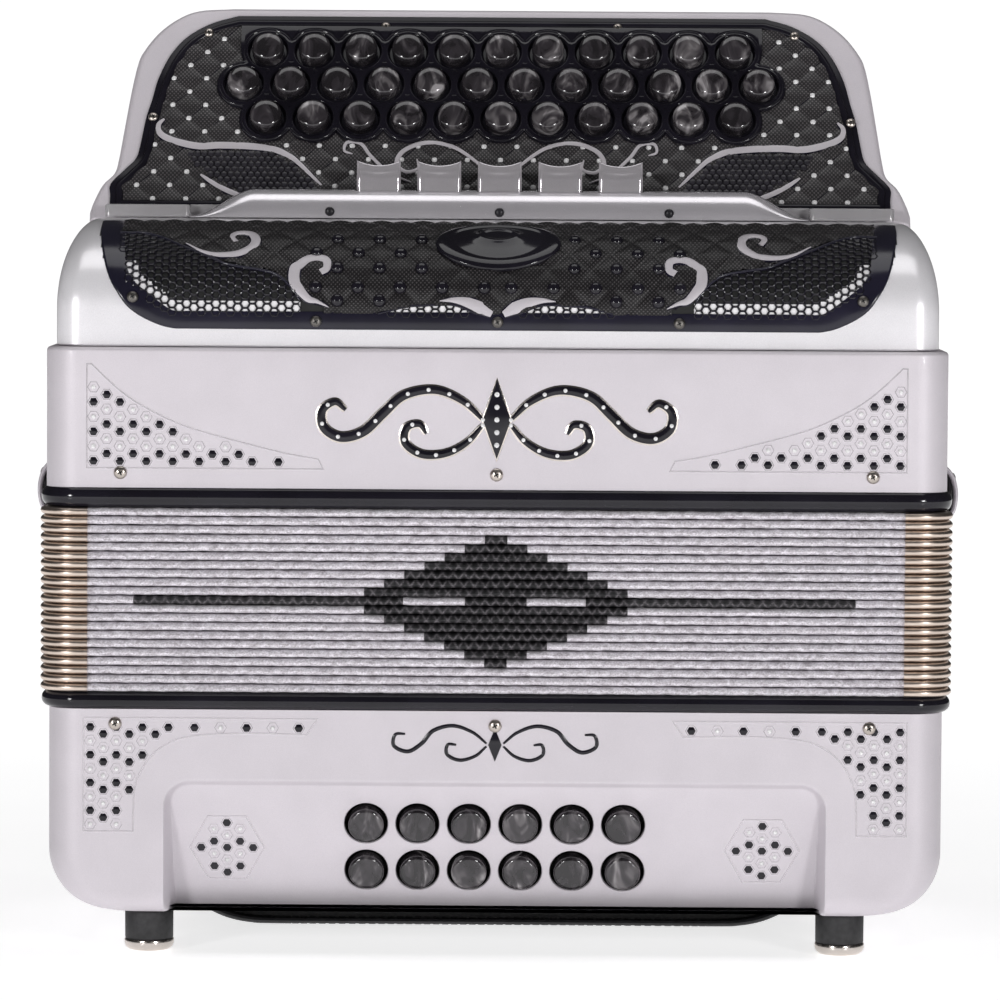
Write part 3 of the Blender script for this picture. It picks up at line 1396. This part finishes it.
def board_quilt(inner, places):
    """Quilted cloth on the plate, outside the button surround."""
    foot = STONE_START - STONE_PITCH[1] / 2

    def on_quilt(x, v):
        beside_top_row = abs(x) > BAND_HALF - 0.4 or v < TREBLE_ROWS[2][0]
        near = min(math.hypot(x - bx, v - bv) for bx, bv in places)
        return v > 4.5 and beside_top_row and near > SURROUND_REACH - 0.4
    quilted = Shape()
    sheet_on(quilted, on_board, inner, lambda x, v: PLATE_RISE + 0.08 + quilt(x, v - foot, *STONE_PITCH, 0.9),
             0.8, skip=lambda x, v: not on_quilt(x, v))
    put(piece("board_quilt", quilted, [WOVEN], 60, merge=False), "treble")
    grooves = Shape()
    seams(grooves, on_board, STONE_PITCH, 0.0, foot, PLATE_RISE + 0.14,
          lambda x, v: inside(x, v, inner) and on_quilt(x, v))
    put(piece("board_quilt_seams", grooves, [PLATE_BLACK], 60), "treble")


def board_stones(inner, places, scale_zone):
    """A stone at each crossing of the quilt that is left free."""
    stones = Shape()
    for k in range(-1, 9):
        for i in range(-13, 14):
            for half in (0.5, 0):
                x = STONE_PITCH[0] * (i + half)
                v = STONE_START + STONE_PITCH[1] * (k + 0.5 - half)
                near = min(math.hypot(x - bx, v - bv) for bx, bv in places)
                if near < SURROUND_REACH + 0.6 or not inside(x, v, inner):
                    continue
                if edge_distance(x, v, inner) < 1.0 or inside(abs(x), v, scale_zone):
                    continue
                cut_stone(stones, board_frame(x, v, PLATE_RISE + 0.1), 1.1)
    put(piece("board_stones", stones, [STONE], 15), "treble")


def board_curves(plate_line):
    """Silver curves with dark edges on the plate, and its raised rim."""
    curves, edges = Shape(), Shape()
    for sign in (1, -1):
        for line, widest in ((S_CURVE, 2.8), (LOW_LEAF, 2.0)):
            path = side_curve(line, sign)
            widths = swelled(len(path), 0.4, widest, 0.5, 0.1)
            curves.ribbon(path, widths, PLATE_RISE + 0.85, 0.2, on_board)
            edges.ribbon(path, [w + 0.8 for w in widths], PLATE_RISE + 0.5, 0.4, on_board)
    put(piece("board_curves", curves, [PRINT_SILVER], 60), "treble")
    put(piece("board_curve_edges", edges, [BORDER], 60), "treble")
    rim = Shape()
    ring = inset(plate_line, 3.6)
    ring.append(ring[0])
    rim.ribbon(ring, [2.6] * len(ring), PLATE_RISE + 0.35, 0.75, on_board)
    put(piece("board_rim", rim, [PLATE_BLACK], 60), "treble")


def board_scales(scale_zone):
    """Small raised hexagons between the silver curves."""
    scales = Shape()
    pitch = 2.5
    scale = [(0, 0), (1.36, 0), (1.3, 0.9), (1.0, 1.25), (0.5, 1.4), (0, 1.42)]
    for j in range(20):
        for i in range(34):
            x = 60 + i * pitch + (pitch / 2 if j % 2 else 0)
            v = 6 + j * pitch * math.sqrt(3) / 2
            if inside(x, v, scale_zone) and edge_distance(x, v, scale_zone) > 0.9:
                for sign in (1, -1):
                    spot = board_frame(sign * x, v, PLATE_RISE + 0.1)
                    scales.turned(scale, spot @ Matrix.Rotation(math.pi / 6, 4, "Z"), 6)
    put(piece("board_scales", scales, [SCALE_BLACK], 25), "treble")


def fingerboard():
    plate_line = mirror_outline(smooth_curve(PLATE_HALF, 5))
    inner = inset(plate_line, 4.2)
    places = treble_places()
    scale_zone = scale_outline()
    board_slab()
    board_plate(plate_line)
    board_quilt(inner, places)
    board_stones(inner, places, scale_zone)
    board_curves(plate_line)
    board_scales(scale_zone)
    surround(places)
    surround_marks()
    plate_screws = Shape()
    for x, v in ((-110, 80.2), (110, 80.2), (-43.6, 83.4), (43.6, 83.4), (-129.6, 43.4), (130.3, 42.6)):
        screw(plate_screws, board_frame(x, v, PLATE_RISE + 0.9), 1.8)
    put(piece("board_screws", plate_screws, [SCREW, DARK]), "treble")
    flourish()


def scale_outline():
    """The field of hexagon scales between the two silver curves, right side."""
    upper = [(x, v - 1.2) for x, v in S_CURVE[4:]]
    return [(118.5, 29.5), (113.5, 22.0)] + [(x, v + 1) for x, v in LOW_LEAF] + [(72, 8.7)] + upper[::-1]


def cut_stone(shape, place, radius):
    """A small cut stone: eight sides, sloped facets and a flat table."""
    r = radius
    shape.turned([(0, 0), (r, 0), (r, 0.25), (r * 0.55, r * 0.62), (0, r * 0.64)], place, 8)


def surround(places):
    """The raised, scalloped frame around the buttons, with a cup at each of them."""
    around = 96
    reach = SURROUND_REACH

    def limit(k, angle):
        """How far the frame runs from a button before a neighbour's share begins."""
        bx, bv = places[k]
        far = reach
        for m, (ox, ov) in enumerate(places):
            dx, dv = ox - bx, ov - bv
            apart = math.hypot(dx, dv)
            if m == k or apart > 2 * reach:
                continue
            along = (math.cos(angle) * dx + math.sin(angle) * dv) / apart
            if along > 1e-6:
                far = min(far, apart / 2 / along)
        return far
    angles = [TAU * i / around for i in range(around)]
    limits = [[limit(k, a) for a in angles] for k in range(len(places))]
    rim = []
    for (bx, bv), far in zip(places, limits):
        rim += [(bx + reach * math.cos(a), bv + reach * math.sin(a))
                for a, f in zip(angles, far) if f > reach - 1e-6]
    rim = np.array(rim)

    def height(x, v):
        d = float(np.min(np.hypot(rim[:, 0] - x, rim[:, 1] - v)))
        if d > 1.9:
            return SURROUND_RISE
        if d > 1.35:
            return SURROUND_RISE - 0.28 * ramp((1.9 - d) / 0.5)
        if d > 0.95:
            return SURROUND_RISE - 0.28 + 0.22 * ramp((1.35 - d) / 0.3)
        return PLATE_RISE + (SURROUND_RISE - 0.06 - PLATE_RISE) * math.sqrt(max(1 - (1 - d / 0.95) ** 2, 0))
    shape = Shape()
    cup = [(6.35, -1.5), (6.35, 0.9), (6.75, 1.3), (7.15, 2.2), (7.45, 3.0), (7.7, 3.3), (8.0, 3.4)]
    steps = (8.3, 8.6, 8.85, 9.05, 9.25, 9.45, 9.65, 9.85, 10.0, 10.1, 10.2)
    for (bx, bv), far in zip(places, limits):
        rows = [[on_board(bx + r * math.cos(a), bv + r * math.sin(a), h) for a in angles] for r, h in cup]
        for r in steps:
            ring = []
            for a, f in zip(angles, far):
                x, v = bx + min(r, f) * math.cos(a), bv + min(r, f) * math.sin(a)
                ring.append(on_board(x, v, height(x, v)))
            rows.append(ring)
        shape.grid(rows, close_u=True)
    top_v = TREBLE_ROWS[2][0]
    rows = []
    for i in range(int(BAND_HALF * 4) + 1):
        x = -BAND_HALF + i * BAND_HALF * 2 / int(BAND_HALF * 4)
        near = x - round(x / TREBLE_PITCH) * TREBLE_PITCH if abs(x) < 5.5 * TREBLE_PITCH else reach
        low = top_v + math.sqrt(max((reach - 0.5) ** 2 - near * near, 0))
        low = min(low, BAND_TOP - 1.2)
        rows.append([on_board(x, v, h) for v, h in
                     ((low, PLATE_RISE), (low, SURROUND_RISE - 0.1), (BAND_TOP - 1, SURROUND_RISE - 0.1),
                      (BAND_TOP - 0.3, SURROUND_RISE - 0.4), (BAND_TOP, SURROUND_RISE - 1.1),
                      (BAND_TOP, PLATE_RISE))])
    shape.tube(rows)
    put(piece("button_surround", shape, [SURROUND_BLACK], 40), "treble")


def surround_marks():
    """Small black V marks between the buttons, and larger ones above the top row."""
    marks = Shape()
    low_v, middle_v, high_v = (row[0] for row in TREBLE_ROWS)
    top = [((i - 4.5) * TREBLE_PITCH, high_v + 7.4, -1) for i in range(10)]
    gaps = []
    for i in range(11):
        x = (i - 5) * TREBLE_PITCH
        gaps += [(x, middle_v + 6.0, 1), (x, middle_v - 5.2, -1)]
    for i in range(10):
        x = (i - 4.5) * TREBLE_PITCH
        gaps += [(x, middle_v + 8.9, -1), (x, low_v + 8.6, 1)]
    for x, v, way in top + gaps:
        size = 2.9 if (x, v, way) in top else 1.15
        outline = [(x - size, v + 0.55 * size * -way), (x + size, v + 0.55 * size * -way),
                   (x, v + size * way)]
        if way < 0:
            outline = [outline[1], outline[0], outline[2]]
        marks.prism(outline, SURROUND_RISE - 0.2, SURROUND_RISE + 0.22, BOARD, 0.25)
    put(piece("surround_marks", marks, [BLACK], 30), "treble")


def flourish():
    """A plain mirrored scroll in silver behind the register switches."""
    outer = [(2, 17), (9, 25), (18, 31.5), (28, 33), (36, 29.5), (38.5, 24), (35, 20.5), (30.5, 22), (31, 26)]
    small = [(33, 16), (41, 20), (48, 27), (52, 32.5), (57, 33), (58, 29.5), (55, 28)]
    shape = Shape()
    for sign in (1, -1):
        for line, widest in ((outer, 1.7), (small, 1.3)):
            path = side_curve(line, sign)
            shape.ribbon(path, swelled(len(path), 0.35, widest, 0.6), PLATE_RISE + 0.85, 0.2, on_board)
    put(piece("board_flourish", shape, [PRINT_SILVER], 60), "treble")


# ---- buttons --------------------------------------------------------------------------------
TREBLE_CAP = [(0, -2.6), (5.8, -2.6), (6, -2.3), (6, 5.1), (5.93, 5.8), (5.7, 6.4), (5.25, 6.85), (4.6, 7.1),
              (3.2, 7.22), (0, 7.3)]
BASS_CAP = [(0, -6.0), (6.2, -6.0), (6.4, -5.7), (6.4, 1.3), (6.33, 2.0), (6.05, 2.55), (5.5, 2.9),
            (4.6, 3.08), (3, 3.16), (0, 3.2)]


def buttons(kind, profile, places):
    for i, place in enumerate(places):
        shape = Shape()
        shape.turned(profile, place, 48)
        name = f"{kind}_button_{i + 1:02d}"
        put(piece(name + "_cap", shape, [PEARL], 50), name + "_body", [name])


# ---- register rail --------------------------------------------------------------------------
RAIL_Z = 263.8
HUMP_Y = -20.6
PIVOT = (-18.2, 268.6)
SWITCH_PITCH = 22.2
SWITCH_HALF = 8.0
SWITCH_AT = [(i - 2) * SWITCH_PITCH for i in range(5)]


def rail():
    hump = Shape()
    base = [(HUMP_Y + 11.5, RAIL_Z), (HUMP_Y + 10.8, RAIL_Z + 1.6)]
    for i in range(0, 25):
        a = i / 24 * math.pi
        base.append((HUMP_Y + 1 + 9.5 * math.cos(a), RAIL_Z + 1.2 + 9.2 * math.sin(a)))
    base += [(HUMP_Y - 8.5, RAIL_Z)]
    rows = []
    for x in range(-113, 114):
        share = ramp((113.4 - abs(x)) / 24)
        rows.append([(x, y, RAIL_Z + (z - RAIL_Z) * (0.06 + 0.94 * share)) for y, z in base])
    hump.tube(rows)
    obj = piece("rail_hump", hump, [RAIL_SILVER, DARK], 50)
    slots = Shape()
    for x in SWITCH_AT:
        spot = Matrix.Translation((x, *PIVOT))
        slots.prism(rounded_rect(SWITCH_HALF + 0.45, 4.5, 0.6, 3), -4.2, 20, spot)
    cut(obj, piece("slot_cutter", slots, []), 50)
    put(obj, "treble", ["register_rail"])
    strip = Shape()
    for sign in (1, -1):
        end = Matrix.Translation((sign * 129.5, -13.3, RAIL_Z))
        strip.prism(rounded_rect(15.5, 5.1, 1.5, 4), 0, 4.6, end, 0.7)
    behind = Matrix.Translation((0, -8.4, RAIL_Z))
    strip.prism(rounded_rect(114.5, 2.2, 0.8, 4), 0, 4.6, behind, 0.6)
    put(piece("rail_clear_strip", strip, [CLEAR], 40), "treble")
    screws = Shape()
    for x in (-62, 0, 62):
        screw(screws, front_place(x, 266.2, HUMP_Y - 8.5), 1.7, 1, 1)
    put(piece("rail_screws", screws, [NICKEL, SATIN_BLACK]), "treble")


def switches():
    py, pz = PIVOT
    side = [(2.0, -3.0), (2.5, -2.0), (2.7, -0.6), (2.8, 4), (2.8, 9.4), (2.65, 10), (2.3, 10.6),
            (1.75, 11.2), (1.3, 11.7), (1.05, 12.3), (0.95, 13)]
    for i, x0 in enumerate(SWITCH_AT):
        shape = Shape()
        rows = []
        for k in range(33):
            u = -1 + 2 * k / 32
            x = SWITCH_HALF * math.sin(u * math.pi / 2)
            top = 302.2 - math.sqrt(361 - x * x) - pz
            end = 1 - 0.22 * ramp((abs(x) - SWITCH_HALF + 0.9) / 0.9)
            back = [(y * end, z if z < 9 else 9 + (top - 9 - 0.5) * (z - 9) / 4) for y, z in side]
            crest = [(0.75 * end, top - 0.12), (0.4 * end, top), (-0.4 * end, top), (-0.75 * end, top - 0.14)]
            ring = back + crest + [(-y, z) for y, z in reversed(back)]
            rows.append([(x0 + x, py + y, pz + z) for y, z in ring])
        shape.grid(rows[:5], close_u=True, slot=1)
        shape.grid(rows[4:-4], close_u=True)
        shape.grid(rows[-5:], close_u=True, slot=1)
        shape.cap(rows[0], slot=1)
        shape.cap(rows[-1], flip=True, slot=1)
        name = f"register_switch_{i + 1}"
        put(piece(name + "_cap", shape, [SWITCH, SWITCH_END], 45), name + "_body", [name])


# ---- inlays and ornaments -------------------------------------------------------------------
def hex_outline(x, y, size):
    return [(x + size * math.cos(k * math.pi / 3), y + size * math.sin(k * math.pi / 3)) for k in range(6)]


def inlay(name, outline, surface, columns, rows, pitch, top, body, is_dark):
    """A field of hexagon cells in an outline: dark inlays and stones in turn down each column."""
    lines, darks, stones = Shape(), Shape(), Shape()
    for sign in (1, -1):
        for c in columns:
            for j in rows:
                x = pitch[2] + c * pitch[0]
                z = top + j * pitch[1] + (pitch[1] / 2 if c % 2 else 0)
                corners = hex_outline(x, z, 2.15)
                within = sum(inside(px, pz, outline) for px, pz in corners)
                if within < 3:
                    continue
                ring = [[surface(sign * px, pz, h) for px, pz in hex_outline(x, z, r)]
                        for r, h in ((2.25, 0.0), (2.2, 0.16), (1.95, 0.16), (1.9, 0.0))]
                if within == 6:
                    lines.grid(ring, close_u=True)
                    spot = surface(sign * x, z, 0)
                    right = (surface(sign * x + 1, z, 0) - spot).normalized()
                    up = (surface(sign * x, z + 1, 0) - spot).normalized()
                    place = place_at(spot, right, up)
                    if is_dark(c, j):
                        darks.prism(hex_outline(0, 0, 1.58), 0, 0.14, place, 0.06)
                    else:
                        cut_stone(stones, place, 0.82)
        border = [(sign * x, z) for x, z in outline]
        rows_out = []
        for shift, h in ((0.0, 0.0), (0.06, 0.17), (0.42, 0.17), (0.48, 0.0)):
            line = inset(border if sign > 0 else border[::-1], shift)
            rows_out.append([surface(x, z, h) for x, z in line])
        lines.grid(rows_out, close_u=True)
    put(piece(name + "_lines", lines, [INLAY_LINE], 30, merge=False), body)
    put(piece(name + "_cells", darks, [BLACK], 30), body)
    put(piece(name + "_stones", stones, [STONE], 15), body)


def on_front(x, z, h):
    return Vector((x, FRONT - h, z))


def on_panel(x, u, h):
    return PANEL @ Vector((x, u, h))


def inlays():
    corner = smooth_curve([(63.2, 178.8), (75, 180.8), (88.6, 184.1), (98.7, 186.7), (108.8, 189.6),
                           (115.6, 192.2), (122.4, 195.5), (129.1, 199.3), (135.9, 204.5), (144, 212.2)], 5)
    treble = [(61.2, 174.8), (146, 174.8), (146, 212.2)] + corner[::-1]
    inlay("treble_inlay", treble, on_front, [*range(13), 14], range(0, 9), (-4.7, 5.25, 143.4), 177.5,
          "treble", lambda c, j: j % 2 == 0)
    inner = smooth_curve([(128.8, 44.9), (128.7, 54), (128.1, 60.9), (126.7, 65.4), (123.6, 70.6),
                          (119.6, 74.6), (113.9, 77.7), (107, 79.3), (97.9, 80.0), (86.4, 80.3),
                          (67, 79.9)], 4)
    bass = [(147, 44.9), (147, 86), (63, 86)] + inner[::-1]
    inlay("bass_inlay", bass, on_front, range(0, 20), range(-10, 2), (-4.65, 4.98, 144.35), 82.5, "bass",
          lambda c, j: (j + c) % 2 == 0 and (c < 9 or c % 4 == 0))
    badge_x, badge_v = 95.9, -26.5
    badge = [(badge_x + x, badge_v + v)
             for x, v in ((13.6, 0), (7, 12.5), (-7, 12.5), (-13.6, 0), (-7, -12.5), (7, -12.5))]
    inlay("bass_badge", badge, on_panel, range(-2, 3), range(-3, 4), (4.66, 4.87, badge_x), badge_v,
          "bass", lambda c, j: j % 2 == 0)


def scroll_set(shape, lines, surface, lift, thick, grow, slot):
    for sign in (1, -1):
        for line, widest in lines:
            path = side_curve(line, sign)
            widths = [grow + w for w in swelled(len(path), 0.5, widest, 0.45, 0.2)]
            shape.ribbon(path, widths, lift, thick, surface, slot)


def ornaments():
    """Plain symmetric scrolls in black, edged in metal and set with stones."""
    long_scroll = [(5, 193), (12, 199.5), (22, 203.5), (33, 201.5), (40.5, 195), (47.5, 188.5), (55.5, 186.5),
                   (61.5, 190), (62, 196), (57.5, 199), (53.8, 196.2)]
    low_scroll = [(5, 191), (10.5, 185), (18, 181), (26.5, 180.6), (32.5, 184.6), (32, 190), (27.5, 191.3),
                  (25, 188)]
    lines = [(long_scroll, 3.4), (low_scroll, 2.8)]
    shape = Shape()
    scroll_set(shape, lines, on_front, 0.0, 0.34, 1.1, 1)
    scroll_set(shape, lines, on_front, 0.3, 0.22, 0.0, 0)
    for grow, low, high, slot in ((0.55, 0, 0.34, 1), (0, 0.2, 0.52, 0)):
        lozenge = [(0, 179 - grow * 2), (5 + grow, 193), (0, 207 + grow * 2), (-5 - grow, 193)]
        shape.prism(lozenge, low, high, front_place(0, 0), 0.12, slot)
    put(piece("treble_ornament", shape, [BLACK, NICKEL], 40), "treble")
    stones = Shape()
    for sign in (1, -1):
        for line in (long_scroll, low_scroll):
            count = 12 if line is long_scroll else 8
            for x, z in resample(side_curve(line, sign), count, False)[:-1]:
                cut_stone(stones, front_place(x, z, FRONT - 0.5), 0.75)
    for z in (184, 188.5, 193, 197.5, 202):
        cut_stone(stones, front_place(0, z, FRONT - 0.5), 0.95)
    put(piece("treble_ornament_stones", stones, [STONE], 15), "treble")
    lower = Shape()
    upper_stroke = [(3, 77.5), (8, 81.5), (15, 83.8), (22, 82), (26, 77.5), (31, 74.5), (36, 76.5),
                    (35.5, 80.5), (32, 80.8)]
    lower_stroke = [(3, 76.5), (7, 73), (12.5, 71.5), (17, 73.5), (16.8, 77), (13.8, 77)]
    scroll_set(lower, [(upper_stroke, 1.5), (lower_stroke, 1.3)], on_front, 0.0, 0.26, 0.0, 0)
    lower.prism([(0, 71), (2.4, 77), (0, 83), (-2.4, 77)], 0, 0.26, front_place(0, 0), 0.1, 0)
    put(piece("bass_ornament", lower, [BLACK], 40), "bass")


# ---- bellows straps -------------------------------------------------------------------------
def bellows_straps():
    """Bow-shaped brackets on the treble end, and the straps that snap down to the bass end. All of it
    rides on the treble end."""
    brackets, straps, studs, lower = Shape(), Shape(), Shape(), Shape()
    bow = smooth_curve([(0.2, 174.8), (2.6, 174.0), (5.2, 171), (6.6, 166.5), (6.7, 162), (5.8, 158),
                        (3.8, 155.6), (2.9, 157.2)], 6)
    lane = [(4.4, 172.5), (4.9, 167), (4.6, 160), (4.0, 150), (3.8, 128), (3.6, 104), (3.7, 95.5), (3.3, 91),
            (1.6, 86.5), (0.4, 82), (0.35, 72), (0.35, 68)]
    for sign in (1, -1):
        for line, half, thick, base, target in ((bow, 9.0, 0.85, TREBLE_HALF, brackets),
                                                (smooth_curve(lane, 6), 7.0, 0.7, BASS_HALF + 0.6, straps)):
            rows = []
            for k, (out, z) in enumerate(line):
                a, b = Vector(line[max(k - 1, 0)]), Vector(line[min(k + 1, len(line) - 1)])
                along = (b - a).normalized()
                normal = Vector((-along.y, along.x))
                end = min(k, len(line) - 1 - k)
                reach = half * (0.72 + 0.28 * ramp(end / 5)) if target is brackets else half
                section = []
                for y, t in ((-1, 0), (-0.96, 0.75), (-0.85, 1), (0.85, 1), (0.96, 0.75), (1, 0),
                             (0.96, -0.75), (0.85, -1), (-0.85, -1), (-0.96, -0.75)):
                    q = Vector((out, z)) + normal * t * thick
                    section.append((sign * (base + q.x), SIDE_STRAP_Y + y * reach, q.y))
                rows.append(section)
            target.tube(rows)
        facing = place_at((sign * (TREBLE_HALF + 5.9), SIDE_STRAP_Y, 169.5), (0, sign, 0), (0, 0, 1))
        screw(studs, facing, 2.2)
        stud = place_at((sign * (BASS_HALF + 1.6), SIDE_STRAP_Y, 76), (0, sign, 0), (0, 0, 1))
        lower.turned([(0, -1.6), (2.4, -1.6), (3.6, -0.4), (4.3, 0.3), (4.1, 0.9), (3.2, 1.4), (1.6, 1.65),
                      (0, 1.7)], stud, 32)
    put(piece("strap_brackets", brackets, [SILVER], 50), "treble")
    put(piece("bellows_straps", straps, [LEATHER], 50), "treble")
    put(piece("strap_bracket_screws", studs, [SCREW, DARK]), "treble")
    put(piece("strap_snaps", lower, [NICKEL], 50), "treble")


bass_casing()
bellows_frames()
casing_screws()
feet()
end_plate()
bass_strap()
air_button()
bellows()
treble_casing()
grille_cover()
grille()
fingerboard()
buttons("treble", TREBLE_CAP, [board_frame(x, v) for x, v in treble_places()])
buttons("bass", BASS_CAP, bass_places())
rail()
switches()
inlays()
ornaments()
bellows_straps()


# ---- stage ----------------------------------------------------------------------------------
def floor_material():
    m = Nodes("floor", (0.86, 0.86, 0.87), 0.25)
    m.set("Specular IOR Level", 0.05)
    m.set("Emission Color", (1, 1, 1, 1))
    reach = m.tree.nodes.new("ShaderNodeVectorMath")
    reach.operation = "LENGTH"
    m.link(m.place, reach.inputs[0])
    m.link(m.span(reach.outputs["Value"], 0.72, 1.05, 0.25, 1.3), m.shader.inputs["Emission Strength"])
    m.mottle(3, 2, (0.84, 0.84, 0.85), (0.88, 0.88, 0.89))
    m.polish(20, 2, 0.22, 0.3)
    return m.material


WORLD_BACK = 0.9                   # how much the light from behind counts against the light from above
WORLD_LOW = 0.25
WORLD_HIGH = 0.8


def studio_world():
    """White to the camera; as a light, bright above and behind the object and dim in front of it."""
    world = bpy.data.worlds.new("studio")
    bpy.context.scene.world = world
    world.use_nodes = True
    tree = world.node_tree
    lit = tree.nodes["Background"]
    seen = tree.nodes.new("ShaderNodeBackground")
    seen.inputs["Color"].default_value = (1, 1, 1, 1)
    seen.inputs["Strength"].default_value = 1.05
    split = tree.nodes.new("ShaderNodeSeparateXYZ")
    tree.links.new(tree.nodes.new("ShaderNodeTexCoord").outputs["Generated"], split.inputs["Vector"])
    total = tree.nodes.new("ShaderNodeMath")
    total.operation = "MULTIPLY_ADD"
    tree.links.new(split.outputs["Y"], total.inputs[0])
    total.inputs[1].default_value = WORLD_BACK
    tree.links.new(split.outputs["Z"], total.inputs[2])
    level = tree.nodes.new("ShaderNodeMapRange")
    level.inputs["From Min"].default_value = -0.5
    level.inputs["From Max"].default_value = 0.9
    level.inputs["To Min"].default_value = WORLD_LOW
    level.inputs["To Max"].default_value = WORLD_HIGH
    tree.links.new(total.outputs["Value"], level.inputs["Value"])
    tree.links.new(level.outputs["Result"], lit.inputs["Strength"])
    mix = tree.nodes.new("ShaderNodeMixShader")
    tree.links.new(tree.nodes.new("ShaderNodeLightPath").outputs["Is Camera Ray"], mix.inputs["Fac"])
    tree.links.new(lit.outputs["Background"], mix.inputs[1])
    tree.links.new(seen.outputs["Background"], mix.inputs[2])
    tree.links.new(mix.outputs["Shader"], tree.nodes["World Output"].inputs["Surface"])


def stage():
    floor = Shape()
    side = 6000.0
    floor.grid([[(-side, -side, 0), (side, -side, 0)], [(-side, side, 0), (side, side, 0)]])
    obj = piece("floor", floor, [floor_material()])
    studio_world()
    bpy.context.scene.view_settings.view_transform = "Standard"


def softbox(name, at, target, size, power):
    data = bpy.data.lights.new(name, "AREA")
    data.shape = "RECTANGLE"
    data.size, data.size_y = size
    data.energy = power
    obj = bpy.data.objects.new(name, data)
    bpy.context.scene.collection.objects.link(obj)
    direction = Vector(target) - Vector(at)
    obj.location = Vector(at)
    obj.rotation_euler = direction.to_track_quat("-Z", "Y").to_euler()


def lights():
    softbox("left_softbox", (-1.0, -1.7, 0.45), (0, 0, 0.2), (0.26, 0.26), 11)
    softbox("right_softbox", (1.0, -1.7, 0.45), (0, 0, 0.2), (0.26, 0.26), 11)
    softbox("top_light", (0, -0.05, 1.8), (0, 0, 0.1), (1.4, 0.9), 7.5)


stage()
lights()
